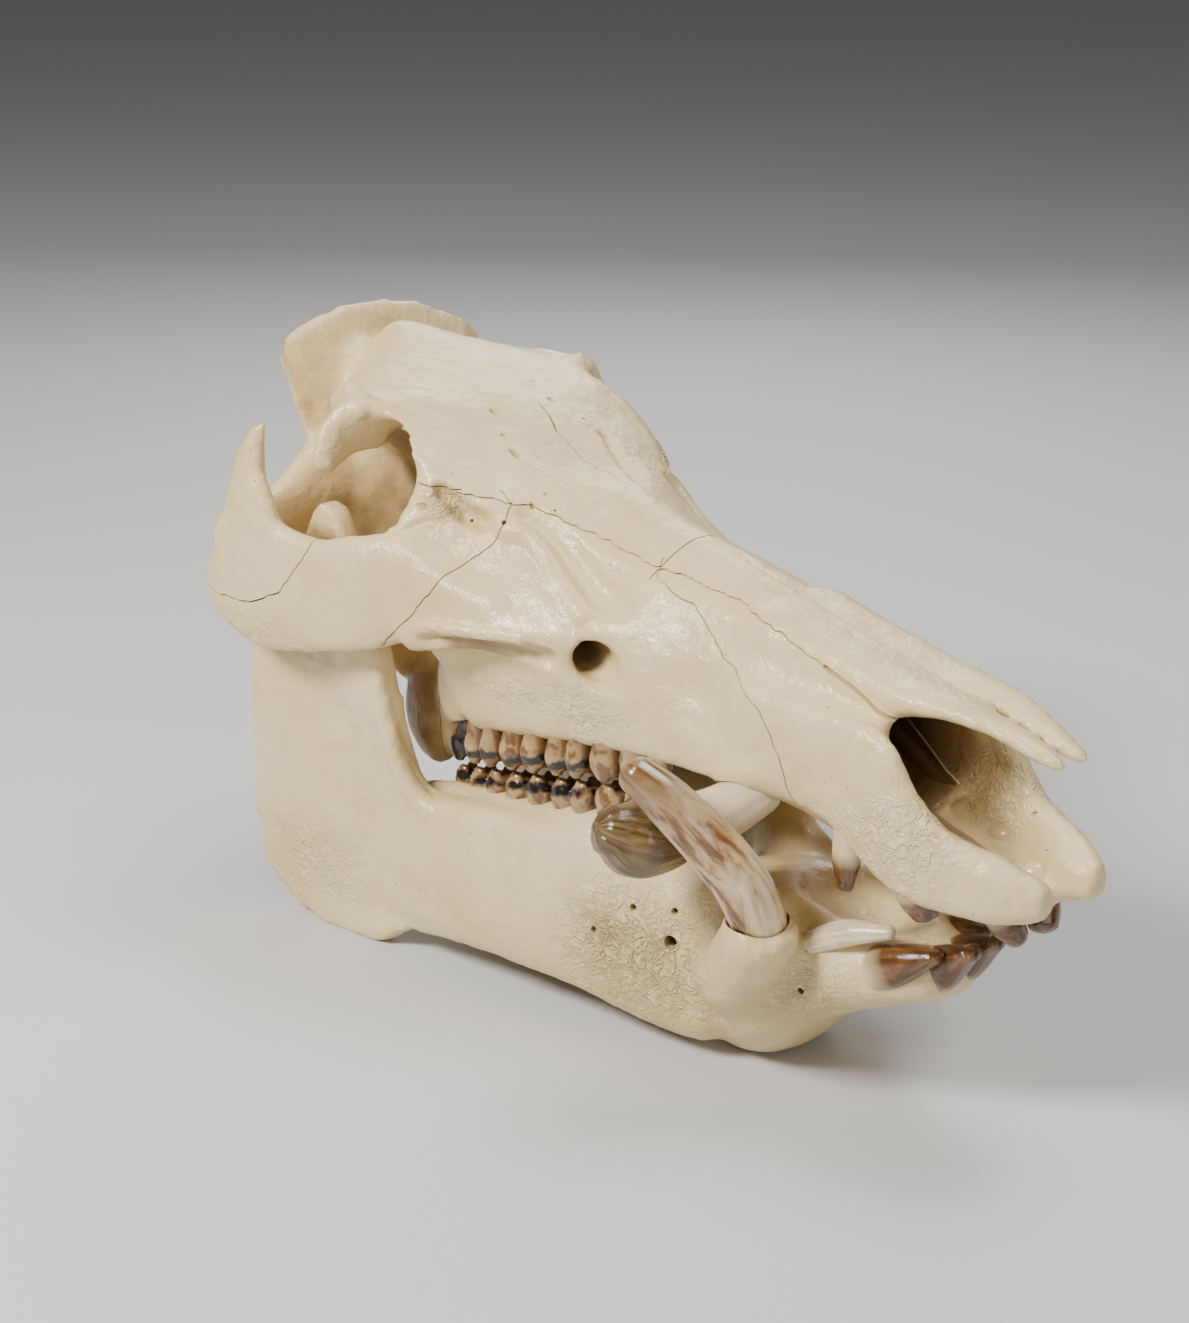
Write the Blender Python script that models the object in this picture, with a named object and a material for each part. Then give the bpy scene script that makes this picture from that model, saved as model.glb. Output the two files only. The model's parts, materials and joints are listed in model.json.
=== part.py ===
"""Life-size skull of an adult boar: cranium, lower jaw, teeth and tusks, standing on the jaw.

Every size is in millimetres until place() turns the finished solids into metres.
x runs from the nuchal crest at the back (0) to the snout, y is the animal's left, z is the height
above the surface that the jaw stands on.  The shapes are lofts through a few stations, which a voxel
remesh fuses; each bone is then parted from its neighbours along its sutures by a thin gap.
"""

import math

import bmesh
import bpy
import numpy as np
from mathutils import Matrix

MM = 0.001
GAP = 0.35                 # between two bones that touch
VOXEL = 1.9                # grain of the remesh that fuses the lofts
CREST_LEAN = 0.06          # the crest's right wing stands a little higher
RIGHT_SPUR = 46.5          # height of the spur over the cheek arch, on either side
LEFT_SPUR = 38.0
BONE = (0.80, 0.72, 0.56, 1.0)
IVORY = (0.78, 0.70, 0.58, 1.0)
BROWN_ENAMEL = (0.30, 0.17, 0.07, 1.0)

CRANIUM_FACES = 5400
MANDIBLE_FACES = 2000


# Lofts

def catmull(rows, per_span):
    """Smooth rows of numbers through the given rows, per_span steps from one to the next."""
    rows = np.array(rows, float)
    ends = np.vstack([2 * rows[0] - rows[1], rows, 2 * rows[-1] - rows[-2]])
    out = []
    for i in range(1, len(ends) - 2):
        before, here, there, after = ends[i - 1:i + 3]
        for t in np.arange(per_span) / per_span:
            out.append(0.5 * (2 * here + (there - before) * t
                              + (2 * before - 5 * here + 4 * there - after) * t ** 2
                              + (3 * here - before - 3 * there + after) * t ** 3))
    out.append(rows[-1])
    return np.array(out)


def ring(centre, wide, tall, half_wide, half_tall, sides, power):
    """Points of a superellipse; power 2 is an ellipse and a higher one is boxier."""
    points = []
    for k in range(sides):
        c = math.cos(2 * math.pi * k / sides)
        s = math.sin(2 * math.pi * k / sides)
        points.append(centre + wide * half_wide * math.copysign(abs(c) ** (2 / power), c)
                      + tall * half_tall * math.copysign(abs(s) ** (2 / power), s))
    return points


def skin(rings):
    """Closed body over rings of equal count, with a pole at each end."""
    sides = len(rings[0])
    verts = [p for r in rings for p in r]
    faces = []
    for i in range(len(rings) - 1):
        for k in range(sides):
            a = i * sides + k
            b = i * sides + (k + 1) % sides
            faces.append((a, b, b + sides, a + sides))
    faces.append(tuple(range(sides - 1, -1, -1)))
    faces.append(tuple(range((len(rings) - 1) * sides, len(rings) * sides)))
    return np.array(verts), faces


def tube(rows, sides=20, power=2.0, per_span=5, up=(0, 0, 1), dome=0.7, rounds=(0.45, 0.9, 1.35),
         facing=None):
    """Body along a path.  Each row: x, y, z of the path, half width across `up`, half size along it.

    The rounds are the angles of the rings that dome its ends.  The rings stand square to the path,
    or all of them to `facing`.
    """
    rows = catmull(rows, per_span)
    path = rows[:, :3]
    tangent = np.gradient(path, axis=0) if facing is None else np.tile(np.array(facing, float), (len(path), 1))
    tangent /= np.linalg.norm(tangent, axis=1)[:, None]
    rings = []
    for i, (p, t, half) in enumerate(zip(path, tangent, rows[:, 3:5])):
        wide = np.cross(up, t)
        wide /= np.linalg.norm(wide)
        tall = np.cross(t, wide)
        if i == 0:
            rings += [ring(p - t * dome * min(half) * math.sin(a), wide, tall,
                           *(half * math.cos(a)), sides, power) for a in rounds[::-1]]
        rings.append(ring(p, wide, tall, half[0], half[1], sides, power))
        if i == len(path) - 1:
            rings += [ring(p + t * dome * min(half) * math.sin(a), wide, tall,
                           *(half * math.cos(a)), sides, power) for a in rounds]
    return skin(rings)


def blob(centre, radii, lean=0.0):
    """Ellipsoid; lean tips its x axis up, in degrees."""
    ball = bmesh.new()
    bmesh.ops.create_icosphere(ball, subdivisions=3, radius=1.0)
    verts = np.array([v.co for v in ball.verts]) * radii
    faces = [tuple(v.index for v in f.verts) for f in ball.faces]
    ball.free()
    c, s = math.cos(math.radians(lean)), math.sin(math.radians(lean))
    verts = verts @ np.array([[c, 0, s], [0, 1, 0], [-s, 0, c]])
    return verts + np.array(centre, float), faces


def half_sections(stations, per_span=5, fine=4):
    """Body whose cross-sections across x are given by their left half, top to bottom."""
    rows = catmull([[s[0]] + [v for point in s[1:] for v in point] for s in stations], per_span)
    rings = []
    for row in rows:
        half = row[1:].reshape(-1, 2)
        loop = np.vstack([half, (half[1:-1] * (-1, 1))[::-1]])
        closed = np.vstack([loop[-1:], loop, loop[:2]])
        points = []
        for i in range(1, len(closed) - 2):
            a, b, c, d = closed[i - 1:i + 3]
            for t in np.arange(fine) / fine:
                y, z = 0.5 * (2 * b + (c - a) * t + (2 * a - 5 * b + 4 * c - d) * t ** 2
                              + (3 * b - a - 3 * c + d) * t ** 3)
                points.append(np.array((row[0], y, z)))
        rings.append(points)
    return skin(rings)


def plate(outline, middle, half_thickness, fine=3):
    """Slab seen from the side: outline of (x, z), its middle plane at y = middle(x, z)."""
    loop = np.array(outline, float)
    closed = np.vstack([loop[-1:], loop, loop[:2]])
    edge = []
    for i in range(1, len(closed) - 2):
        a, b, c, d = closed[i - 1:i + 3]
        for t in np.arange(fine) / fine:
            edge.append(0.5 * (2 * b + (c - a) * t + (2 * a - 5 * b + 4 * c - d) * t ** 2
                               + (3 * b - a - 3 * c + d) * t ** 3))
    rings = []
    for side in (-1, 1):
        rings.append([np.array((x, middle(x, z) + side * half_thickness, z)) for x, z in edge])
    return skin(rings)


def mirrored(body):
    """The same body on the animal's other side."""
    verts, faces = body
    return verts * (1, -1, 1), faces


def both(bodies):
    return bodies + [mirrored(b) for b in bodies]


# Fusing, cutting and thinning

def link(name, mesh):
    obj = bpy.data.objects.new(name, mesh)
    bpy.context.scene.collection.objects.link(obj)
    return obj


def mesh_of(name, bodies):
    """One mesh that holds all the bodies, each closed and with its faces pointing out."""
    joined = bmesh.new()
    for verts, faces in bodies:
        made = [joined.verts.new(v) for v in verts]
        for f in faces:
            joined.faces.new([made[i] for i in f])
    bmesh.ops.recalc_face_normals(joined, faces=joined.faces)
    mesh = bpy.data.meshes.new(name)
    joined.to_mesh(mesh)
    joined.free()
    return mesh


def settle(obj):
    """Applies the object's modifiers to its mesh."""
    evaluated = obj.evaluated_get(bpy.context.evaluated_depsgraph_get())
    mesh = bpy.data.meshes.new_from_object(evaluated)
    obj.modifiers.clear()
    old = obj.data
    obj.data = mesh
    bpy.data.meshes.remove(old)
    return obj


def discard(obj):
    bpy.data.objects.remove(obj, do_unlink=True)


def remesh(obj, soften):
    fuse = obj.modifiers.new("Fuse", "REMESH")
    fuse.mode = "VOXEL"
    fuse.voxel_size = VOXEL
    smooth = obj.modifiers.new("Soften", "SMOOTH")
    smooth.factor = 0.5
    smooth.iterations = soften
    return settle(obj)


def fused(name, bodies, soften=3):
    return remesh(link(name, mesh_of(name, bodies)), soften)


def combine(obj, other, operation, solver="EXACT"):
    """Boolean of obj with other, which is then gone."""
    boolean = obj.modifiers.new("Combine", "BOOLEAN")
    boolean.operation = operation
    boolean.solver = solver
    boolean.object = other
    settle(obj)
    discard(other)
    return obj


def thin(obj, faces):
    """Fewer, larger triangles, alike on the left and the right."""
    thinner = obj.modifiers.new("Thin", "DECIMATE")
    thinner.ratio = faces / (2 * len(obj.data.polygons))
    thinner.use_symmetry = True
    thinner.symmetry_axis = "Y"
    return settle(obj)


def press(obj, strokes):
    """Sculpts both sides.  Each stroke: centre on the left (y > 0), radius, push."""
    co = np.array([v.co for v in obj.data.vertices])
    for centre, radius, push in strokes:
        for side in (1, -1):
            away = (co - np.array(centre) * (1, side, 1)) / np.array(radius)
            weight = np.clip(1 - (away ** 2).sum(1), 0, None) ** 2
            co += weight[:, None] * np.array(push) * (1, side, 1)
    obj.data.vertices.foreach_set("co", co.ravel())
    obj.data.update()
    return obj


def largest_only(obj):
    """Drops loose scraps and sealed hollows: only the largest closed surface stays."""
    mesh = bmesh.new()
    mesh.from_mesh(obj.data)
    unseen = set(mesh.verts)
    islands = []
    while unseen:
        seed = unseen.pop()
        island, edge = {seed}, [seed]
        while edge:
            for e in edge.pop().link_edges:
                for v in e.verts:
                    if v in unseen:
                        unseen.discard(v)
                        island.add(v)
                        edge.append(v)
        islands.append(island)
    islands.sort(key=len)
    bmesh.ops.delete(mesh, geom=[v for i in islands[:-1] for v in i], context="VERTS")
    bmesh.ops.triangulate(mesh, faces=mesh.faces)
    mesh.to_mesh(obj.data)
    mesh.free()
    return obj


# Cranium

def cranial_core():
    """Forehead, braincase and the inner walls of the orbits, as left half sections, top to bottom."""
    return half_sections([
        (12, (0, 201), (6, 198), (18, 184), (25, 166), (28, 148), (27, 126), (20, 108), (0, 101)),
        (24, (0, 199), (22, 193), (27, 181), (26, 166), (26, 148), (27, 128), (20, 108), (0, 102)),
        (38, (0, 195.5), (45, 187.5), (43, 178), (26, 166), (24, 148), (25, 128), (18, 110), (0, 104)),
        (56, (0, 190), (50.5, 184.8), (48, 174), (27, 165), (22, 148), (22, 128), (16, 111), (0, 106)),
        (74, (0, 184.5), (49.5, 180.5), (45.5, 171), (28, 162), (20, 146), (20, 126), (17, 104),
         (0, 98)),
        (90, (0, 178.5), (45, 171.5), (43.5, 163), (34, 156), (24, 142), (24, 120), (22, 96), (0, 88)),
        (108, (0, 171.8), (36, 164), (37, 157), (34, 150), (28, 140), (28, 118), (24, 96), (0, 88)),
    ])


def face():
    """Snout: frontals, lacrimals, maxillae and the bars of the premaxillae beside the nasals."""
    return half_sections([
        (84, (0, 180.5), (45, 172), (52, 163), (59.5, 150), (60, 128), (42, 112), (27, 104), (14, 98),
         (0, 96)),
        (94, (0, 177), (42, 168), (49, 159), (56, 144), (57, 124), (44, 104), (35, 84), (17, 85),
         (0, 89)),
        (106, (0, 172.5), (37, 164), (41, 157), (50, 143), (55, 125), (44, 106), (35, 85.5), (17, 87),
         (0, 91)),
        (120, (0, 168), (30, 160), (33, 154), (44, 142.5), (52, 127), (43, 108), (35.5, 88), (18, 89),
         (0, 94)),
        (140, (0, 161.8), (20.5, 153.5), (27, 149), (37.5, 142), (46.5, 128), (41, 110), (35, 91.5), (18, 94),
         (0, 98.5)),
        (160, (0, 157.3), (18, 150), (27, 142.5), (35, 134), (38, 122), (37, 109), (33.5, 94), (17, 97.5),
         (0, 101)),
        (185, (0, 152.6), (17, 146.5), (23, 138), (28, 128), (32, 117), (34, 107), (33, 96.5), (17, 99),
         (0, 102)),
        (210, (0, 147.4), (17, 142.3), (21.5, 134), (26, 124), (29, 113), (31, 104), (30, 96), (16, 98),
         (0, 101)),
        (236, (0, 141.6), (16.5, 136.5), (20, 128), (24, 118), (26.5, 110), (26.5, 102), (24, 96), (15, 97),
         (0, 99)),
        (258, (0, 136.8), (15, 131.5), (18.5, 125), (22, 116), (24, 107), (23, 99), (17, 95), (12, 95),
         (0, 96)),
    ])


def tuberosity():
    """Rear end of the maxilla, above and behind the last molar."""
    return tube([
        (83, 30, 84, 6, 7),
        (84, 31, 94, 7, 9),
        (90, 33, 108, 9, 9),
        (98, 38, 122, 12, 9),
    ], up=(1, 0, 0))


def nuchal_crest():
    """Fan of bone at the top of the occiput, down to the foramen magnum."""
    verts, faces = tube([
        (2, 0, 204.5, 18, 2),
        (2.5, 0, 201, 33, 3),
        (3.5, 0, 195, 43, 4),
        (5, 0, 188, 45.5, 5),
        (8, 0, 179, 43, 6),
        (11, 0, 164, 38, 8),
        (15, 0, 148, 34, 11),
        (18, 0, 128, 30, 13),
        (21, 0, 110, 25, 12),
        (23, 0, 100, 17, 9),
    ], sides=28, power=2.3, up=(1, 0, 0))
    verts[:, 2] -= CREST_LEAN * verts[:, 1]
    return verts, faces


def zygomatic_arch(spur_height):
    """Cheekbone and arch, its root on the braincase and the spur that rises at the back."""
    arch = tube([
        (124, 46, 131.5, 6.5, 7.5),
        (109, 50.5, 130.5, 7, 12),
        (97, 54.5, 132, 7, 15.5),
        (88, 57.5, 133.5, 6.5, 18),
        (78, 62.5, 131, 6, 19),
        (63, 66.5, 127, 5.5, 19.5),
        (45, 70, 125.5, 6, 21.5),
        (28, 72.5, 124, 6.5, 23),
        (15, 73, 119, 6.5, 15),
        (11, 72.5, 116, 5.5, 9),
    ], power=2.6)
    spur = tube([
        (29, 72, 132, 18, 5.5),
        (29, 72.5, 132 + 0.39 * spur_height, 13, 5),
        (28, 72, 132 + 0.65 * spur_height, 8.5, 4),
        (30, 71, 132 + 0.86 * spur_height, 5, 3.2),
        (33, 69.5, 132 + spur_height, 2.4, 2),
    ], up=(0, 1, 0), power=2.3, dome=1.0)
    root = tube([
        (20, 73, 130, 8, 19),
        (17, 62, 133, 6, 17),
        (16, 50, 136, 5.5, 17),
        (15, 38, 141, 7, 19),
        (16, 26, 146, 9, 24),
    ], power=2.4)
    facial_crest = tube([
        (95, 59, 120.5, 5, 6),
        (115, 54, 124.5, 5, 5),
        (135, 46.5, 127.5, 4, 4.5),
        (152, 39, 127, 3, 3),
    ])
    return [arch, spur, root, facial_crest]


def postorbital_process():
    """Hook of the frontal that half closes the orbit behind."""
    return tube([
        (56, 42, 180, 12, 4),
        (52, 50.5, 176.5, 9.5, 3.7),
        (51, 56.5, 171.5, 6, 3.4),
        (53, 60, 166.5, 2.6, 2.2),
    ], up=(1, 0, 0), dome=1.0)


def skull_base():
    """Condyles, paracondylar processes, bullae, basicranium and pterygoids."""
    middle = tube([
        (16, 0, 104, 16, 9),
        (40, 0, 107, 14, 8),
        (68, 0, 110, 13, 9),
        (92, 0, 100, 16, 15),
    ])
    condyle = blob((11, 13, 101), (9.5, 8, 10.5))
    paracondylar = tube([
        (22, 27, 118, 6, 7),
        (23, 31, 100, 4.5, 6.5),
        (26, 33, 82, 3, 5),
        (29, 33, 66, 2, 3.2),
    ], up=(1, 0, 0), dome=1.0)
    bulla = tube([
        (40, 22, 112, 9, 9),
        (42, 23, 98, 8, 8),
        (45, 24, 88, 4, 4),
    ], up=(1, 0, 0), dome=1.0)
    pterygoid = plate([(46, 116), (84, 114), (88, 100), (84, 84), (76, 73), (66, 68.5), (56, 73), (48, 84),
                       (44, 99)], lambda x, z: 20 + 0.2 * (x - 46), 2.6)
    return [middle] + both([condyle, paracondylar, bulla, pterygoid])


def nasals():
    """The pair of nasal bones, which overhang the nose opening as two blunt points."""
    one = tube([
        (205, 9.5, 141, 9.5, 7),
        (240, 9.2, 134.8, 9.4, 6.4),
        (258, 9, 133.2, 9.2, 4.8),
        (276, 8, 133.4, 7.8, 2.9),
        (292, 6.2, 129.8, 5.7, 2.7),
        (306, 4.6, 125.4, 4.1, 2.5),
    ], power=2.3, dome=1.0)
    return both([one])


def premaxilla_bar():
    """Wall and rim of the nose opening, which carries the upper incisors."""
    return tube([
        (206, 26, 113, 5, 16),
        (236, 24.5, 112, 5, 16.5),
        (250, 24.3, 109.3, 4.6, 19.3),
        (258, 24.2, 106, 4.6, 21.6),
        (265.5, 24, 102.5, 4.6, 21.5),
        (270, 23.5, 97.8, 4.8, 18.3),
        (276, 22.1, 93.8, 5.2, 15.2),
        (283, 20, 90.8, 5.8, 12.3),
        (292, 17, 89.3, 6.5, 11.2),
        (301, 13.3, 89, 7, 9.4),
        (306.5, 11.5, 88.5, 6, 7),
    ], power=2.4, dome=0.9, facing=(1, 0, 0))


def palate():
    """Floor of the nose and roof of the mouth, with the paired bars of the vomer on it."""
    floor = tube([
        (150, 0, 100, 24, 6),
        (200, 0, 98, 25, 5),
        (240, 0, 92, 22, 5),
        (268, 0, 83, 19.5, 5),
        (288, 0, 79, 12, 4),
        (299, 0, 79, 8, 3),
    ])
    vomer = tube([
        (215, 3.4, 103, 2.4, 4),
        (250, 3.4, 95, 2.4, 4),
        (278, 3.6, 87, 2.4, 3),
        (297, 4.2, 82.5, 2.2, 2.2),
    ])
    return [floor] + both([vomer])


def canine_eminence():
    """Swelling over the root of the upper tusk."""
    return tube([
        (228, 18, 107, 8, 8),
        (217, 23, 103, 10, 8),
        (205, 25, 100, 10, 7),
    ], dome=0.5)


def cranial_openings():
    """What is cut from the fused cranium: orbits, nose, foramina and the hollow of the occiput."""
    orbit = blob((64.5, 53, 165.5), (19.5, 27, 18))
    infraorbital = tube([
        (136, 29, 125, 3.5, 4),
        (150, 34, 123.5, 5.5, 6.5),
        (161, 38.5, 121, 6.5, 7.5),
        (174, 46, 117.5, 7, 7.5),
    ])
    nose = tube([
        (178, 0, 124, 8, 7),
        (195, 0, 121, 13, 11),
        (215, 0, 119, 15.5, 14),
        (240, 0, 116.5, 18, 18),
        (262, 0, 110.5, 19, 19),
        (285, 0, 105, 15, 14),
        (312, 0, 102, 12, 11.5),
    ], power=2.4)
    gap = tube([
        (285, 0, 95, 1.2, 20),
        (325, 0, 90, 1.2, 20),
    ], sides=12)
    choana = tube([
        (46, 0, 88, 10, 9),
        (74, 0, 95, 11, 9),
        (104, 0, 106, 8, 6),
    ])
    magnum = tube([
        (-8, 0, 110, 9.5, 8.5),
        (26, 0, 112, 8, 8),
    ])
    nuchal_hollow = blob((-11, 0, 174), (13, 27, 26))
    return [nose, gap, choana, magnum, nuchal_hollow] + both([orbit, infraorbital])


CRANIAL_STROKES = (
    # channel in front of the cheek ridge, and the flat of the snout's side
    ((146, 31, 143), (26, 13, 13), (0, -4.0, -1.5)),
    ((196, 31, 120), (24, 14, 13), (0, -2.2, 0)),
    # hollow under the facial crest
    ((118, 50, 113), (26, 14, 9), (0, -3.0, 2.0)),
    # temporal fossa behind the orbit
    ((24, 33, 176), (16, 14, 18), (0, -3.5, 0)),
    # dish between the orbits and the nasals
    ((112, 0, 170), (32, 22, 14), (0, 0, -1.6)),
)


def cranium():
    bodies = [cranial_core(), face(), nuchal_crest()]
    bodies += zygomatic_arch(LEFT_SPUR) + [mirrored(body) for body in zygomatic_arch(RIGHT_SPUR)]
    bodies += both([postorbital_process(), canine_eminence(), tuberosity(), premaxilla_bar()])
    bodies += skull_base() + nasals() + palate()
    bone = fused("cranium", bodies)
    combine(bone, fused("openings", cranial_openings(), 1), "DIFFERENCE")
    remesh(bone, 3)
    return press(bone, CRANIAL_STROKES)


# Mandible

def ramus_middle(x, z):
    """How far out the middle of the ramus lies."""
    return 57.0 - 0.0022 * max(0.0, x - 15) ** 2 + 0.02 * (z - 60) - 0.0022 * max(0.0, 40 - z) ** 2


def mandible():
    body = tube([
        (62, 48.5, 34, 3.4, 18),
        (76, 46.5, 34, 5.5, 22),
        (90, 44, 35, 7.5, 25),
        (107, 40.5, 36.5, 9, 26),
        (130, 36.5, 37.5, 10, 27),
        (155, 31, 38, 10.5, 29),
        (178, 25, 36, 11.5, 31),
        (196, 19, 34, 13, 30),
    ], power=2.5)
    symphysis = tube([
        (176, 0, 20, 14, 15),
        (190, 0, 23.6, 24, 27.6),
        (202, 0, 32.5, 30, 29.5),
        (217, 0, 40, 31, 24),
        (231, 0, 43.5, 29, 19),
        (246, 0, 47, 25, 14.5),
        (259, 0, 49, 20, 11),
        (268.5, 0, 49.5, 15.5, 8),
    ], power=2.5)
    ramus = plate([
        (6.5, 22), (16, 6.5), (32, 0), (58, -0.8), (68, 2.5), (76, 8), (96, 13), (97, 40), (88, 56),
        (79.5, 66), (76, 82), (71.5, 104), (64, 124), (57, 148), (49, 154), (41, 142), (34, 124),
        (24, 111), (12, 107), (7, 94), (5.5, 60),
    ], ramus_middle, 4.6)
    condyle = tube([(22, 43, 105, 6, 5), (21, 50, 106.5, 7, 5.5), (21, 58, 105.5, 5.5, 4.5)], dome=1.0)
    canine_sleeve = tube([
        (204, 24, 30, 12, 12),
        (217, 29, 43, 12.5, 12.5),
        (228, 36.5, 58, 11.5, 12),
        (231.5, 38, 64, 10.8, 11.4),
    ], dome=0.1)
    alveolar_ridge = tube([
        (74, 37, 50, 7, 10),
        (92, 33.5, 50.5, 8.5, 12),
        (112, 31.5, 52.5, 9, 12.5),
        (130, 30.5, 55, 8.5, 12.5),
        (148, 29.5, 58.5, 8, 12.5),
        (168, 27, 61, 7, 12.5),
        (186, 24, 62, 6, 12),
    ])
    bodies = [symphysis] + both([body, ramus, condyle, canine_sleeve, alveolar_ridge])
    bone = fused("mandible", bodies)
    return press(bone, (
        ((45, 62, 70), (34, 14, 40), (0, -2.6, 0)),
        ((238, 0, 64), (36, 15, 14), (0, 0, -4.0)),
    ))


def level_base(bone):
    """Cuts small flats where the jaw stands."""
    slab = prism(((-60, -30), (400, -30), (400, 0), (-60, 0)), -120, 120)
    return combine(bone, link("slab", mesh_of("slab", [slab])), "DIFFERENCE")


# Teeth

# Cheek teeth from the last molar forward: middle, length and half width
CHEEK_TEETH = ((94.5, 27.5, 7.4), (119, 21.5, 7.4), (140, 19.5, 6.9), (156.5, 12.5, 6.2), (168, 10.5, 4.6),
               (178.5, 10, 3.6))
CHEEK_Y = 30.5
OCCLUSAL = (66.0, 77.0, 0.205)        # height at a station, and its slope forward


def occlusal(x):
    height, station, slope = OCCLUSAL
    return height + slope * (x - station)


def cheek_tooth(x, length, half_width, up):
    """Crown with its root; up is 1 for the lower teeth and -1 for the upper."""
    z = occlusal(x) - 0.5 * up
    half = length / 2 - 0.35
    wide = half_width - (1.2 if up > 0 else 0)
    y = CHEEK_Y - (1.6 if up > 0 else 0)
    rows = [(x, y, z - 22 * up, wide * 0.5, half * 0.6),
            (x, y, z - 12 * up, wide * 0.82, half * 0.86),
            (x, y, z - 6 * up, wide, half),
            (x, y, z - 1.8 * up, wide * 0.9, half * 0.93),
            (x, y, z - 0.2 * up, wide * 0.6, half * 0.7)]
    return tube(rows, sides=8, power=2.8, per_span=1, up=(1, 0, 0), rounds=())


def cheek_row(up):
    return both([cheek_tooth(*tooth, up) for tooth in CHEEK_TEETH])


# Incisors from the middle outward: rows of their tubes, and what is up across them
UPPER_INCISORS = (
    (((289, 9.5, 85, 4.6, 4.6), (293.5, 8, 77.5, 5.4, 5.2), (296.5, 5.8, 72.6, 4.4, 3.4)), (0, 0, 1)),
    (((268.5, 19.6, 87, 3.4, 5.8), (271.5, 19, 79.5, 3.8, 6.8), (274, 18, 75, 2.8, 5.2)), (1, 0, 0)),
    (((248.5, 24, 97, 3, 3.8), (248.5, 23.4, 85, 3.4, 4.6), (247, 22, 76, 2.2, 3)), (1, 0, 0)),
)
LOWER_INCISORS = (
    (((257, 5.3, 43, 4.7, 5.6), (269.5, 5.5, 52.5, 5.2, 7), (280.5, 5.3, 61.5, 4.2, 2.8)), (0, 0, 1)),
    (((243, 14.5, 42, 5, 5.6), (259, 15.4, 52.5, 5.8, 7), (273.5, 12.2, 60.4, 4, 2.6)), (0, 0, 1)),
    (((236, 22.5, 54, 4, 3.8), (248, 20.8, 61, 4.4, 4), (261, 17.6, 64.6, 2.4, 2.2)), (0, 0, 1)),
)


def incisors(rows_and_up):
    return both([tube(rows, sides=8, per_span=2, up=up, rounds=(0.9,)) for rows, up in rows_and_up])


# Tusks

# Paths of the tusks, each point with its half width
UPPER_TUSK = ((215, 24, 96.5, 7.4), (208.5, 33, 89.5, 8.4), (202.5, 42, 85.5, 9.4), (199.5, 50.5, 84, 11.4),
              (196.8, 58, 84.6, 12), (194, 64.5, 87.5, 7.8))
LOWER_TUSK = ((219, 30, 46, 8.2), (227.5, 36, 60, 8.4), (227.5, 44, 76, 8.4), (222.5, 52.3, 89.5, 8.1),
              (213, 59.5, 101, 7.2), (204, 64, 108, 5.6))


def tusk_rows(path, more=0.0):
    """Rows of a tube along a tusk; `more` swells it, for the socket."""
    return [(x, y, z, half + more, half + more) for x, y, z, half in path]


def upper_tusk(more=0.0):
    """Curls out and up."""
    return tube(tusk_rows(UPPER_TUSK, more), sides=12, per_span=2, dome=0.6)


def lower_tusk(more=0.0):
    """Stands up in front of the upper tusk and bends back over it."""
    return tube(tusk_rows(LOWER_TUSK, more), sides=12, per_span=2, up=(1, 0, 0), dome=0.7)


# Sutures

# Curves in x and z that the cuts follow
ROOF_SUTURE = ((96, 165), (106, 163.4), (114, 161.8), (119, 160.7), (125, 158.8), (135, 155.6), (149, 152),
               (158, 150.3), (164, 149.6), (174, 149.2), (184, 147.6), (205, 144.4), (214, 142.4),
               (223, 139.8), (242, 134.2), (255, 129.2), (260, 126.8), (275, 121), (320, 112))
ORBIT_WALL = ((72, 50), (75, 100), (82, 122), (90, 142), (96, 158), (99.5, 168))
PREMAXILLARY_SUTURE = ((161.5, 152), (164.5, 148.6), (170, 146.4), (176, 144.4), (181, 143.6), (187, 140.4),
                       (193, 136), (198, 132), (210, 126.6), (218, 122.4), (222, 118.4), (225.5, 113.8),
                       (228, 108.8), (229.5, 103), (231, 94), (233, 85), (234, 50))
JUGAL_SUTURE = ((58, 94), (74, 103), (83.5, 114), (90, 120.6), (97.4, 126.5), (104.5, 135.8), (108, 143),
                (109.5, 146), (112.9, 149.6), (114.4, 153.3), (114.8, 156.2), (114.4, 158.4), (113.4, 162.2))
TEMPORAL_SUTURE = ((-10, 122), (5, 121), (19, 119.5), (33, 120), (47, 126), (57, 139), (61, 156))
MEDIAN_SLIT = ((160, 146), (227, 103), (228.5, 92), (230, 85), (230.5, 60), (330, 60), (330, 156), (160, 156))
NASAL_BACK = 163.0
JUGAL_DEPTH = 33.0         # y of the jugal's inner cut in front of the orbit
TEMPORAL_DEPTH = 62.0      # and under the joint of the jaw


def prism(outline, y0, y1):
    """Block between two stations across, from its outline in x and z."""
    rings = [[np.array((x, y, z)) for x, z in outline] for y in (y0, y1)]
    return skin(rings)


def curtain(curve, y0, y1):
    """Sheet as thin as a suture, along a curve in x and z."""
    curve = np.array(curve, float)
    along = np.gradient(curve, axis=0)
    across = np.stack([-along[:, 1], along[:, 0]], 1)
    across *= GAP / 2 / np.linalg.norm(across, axis=1)[:, None]
    return prism(np.vstack([curve + across, (curve - across)[::-1]]), y0, y1)


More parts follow.
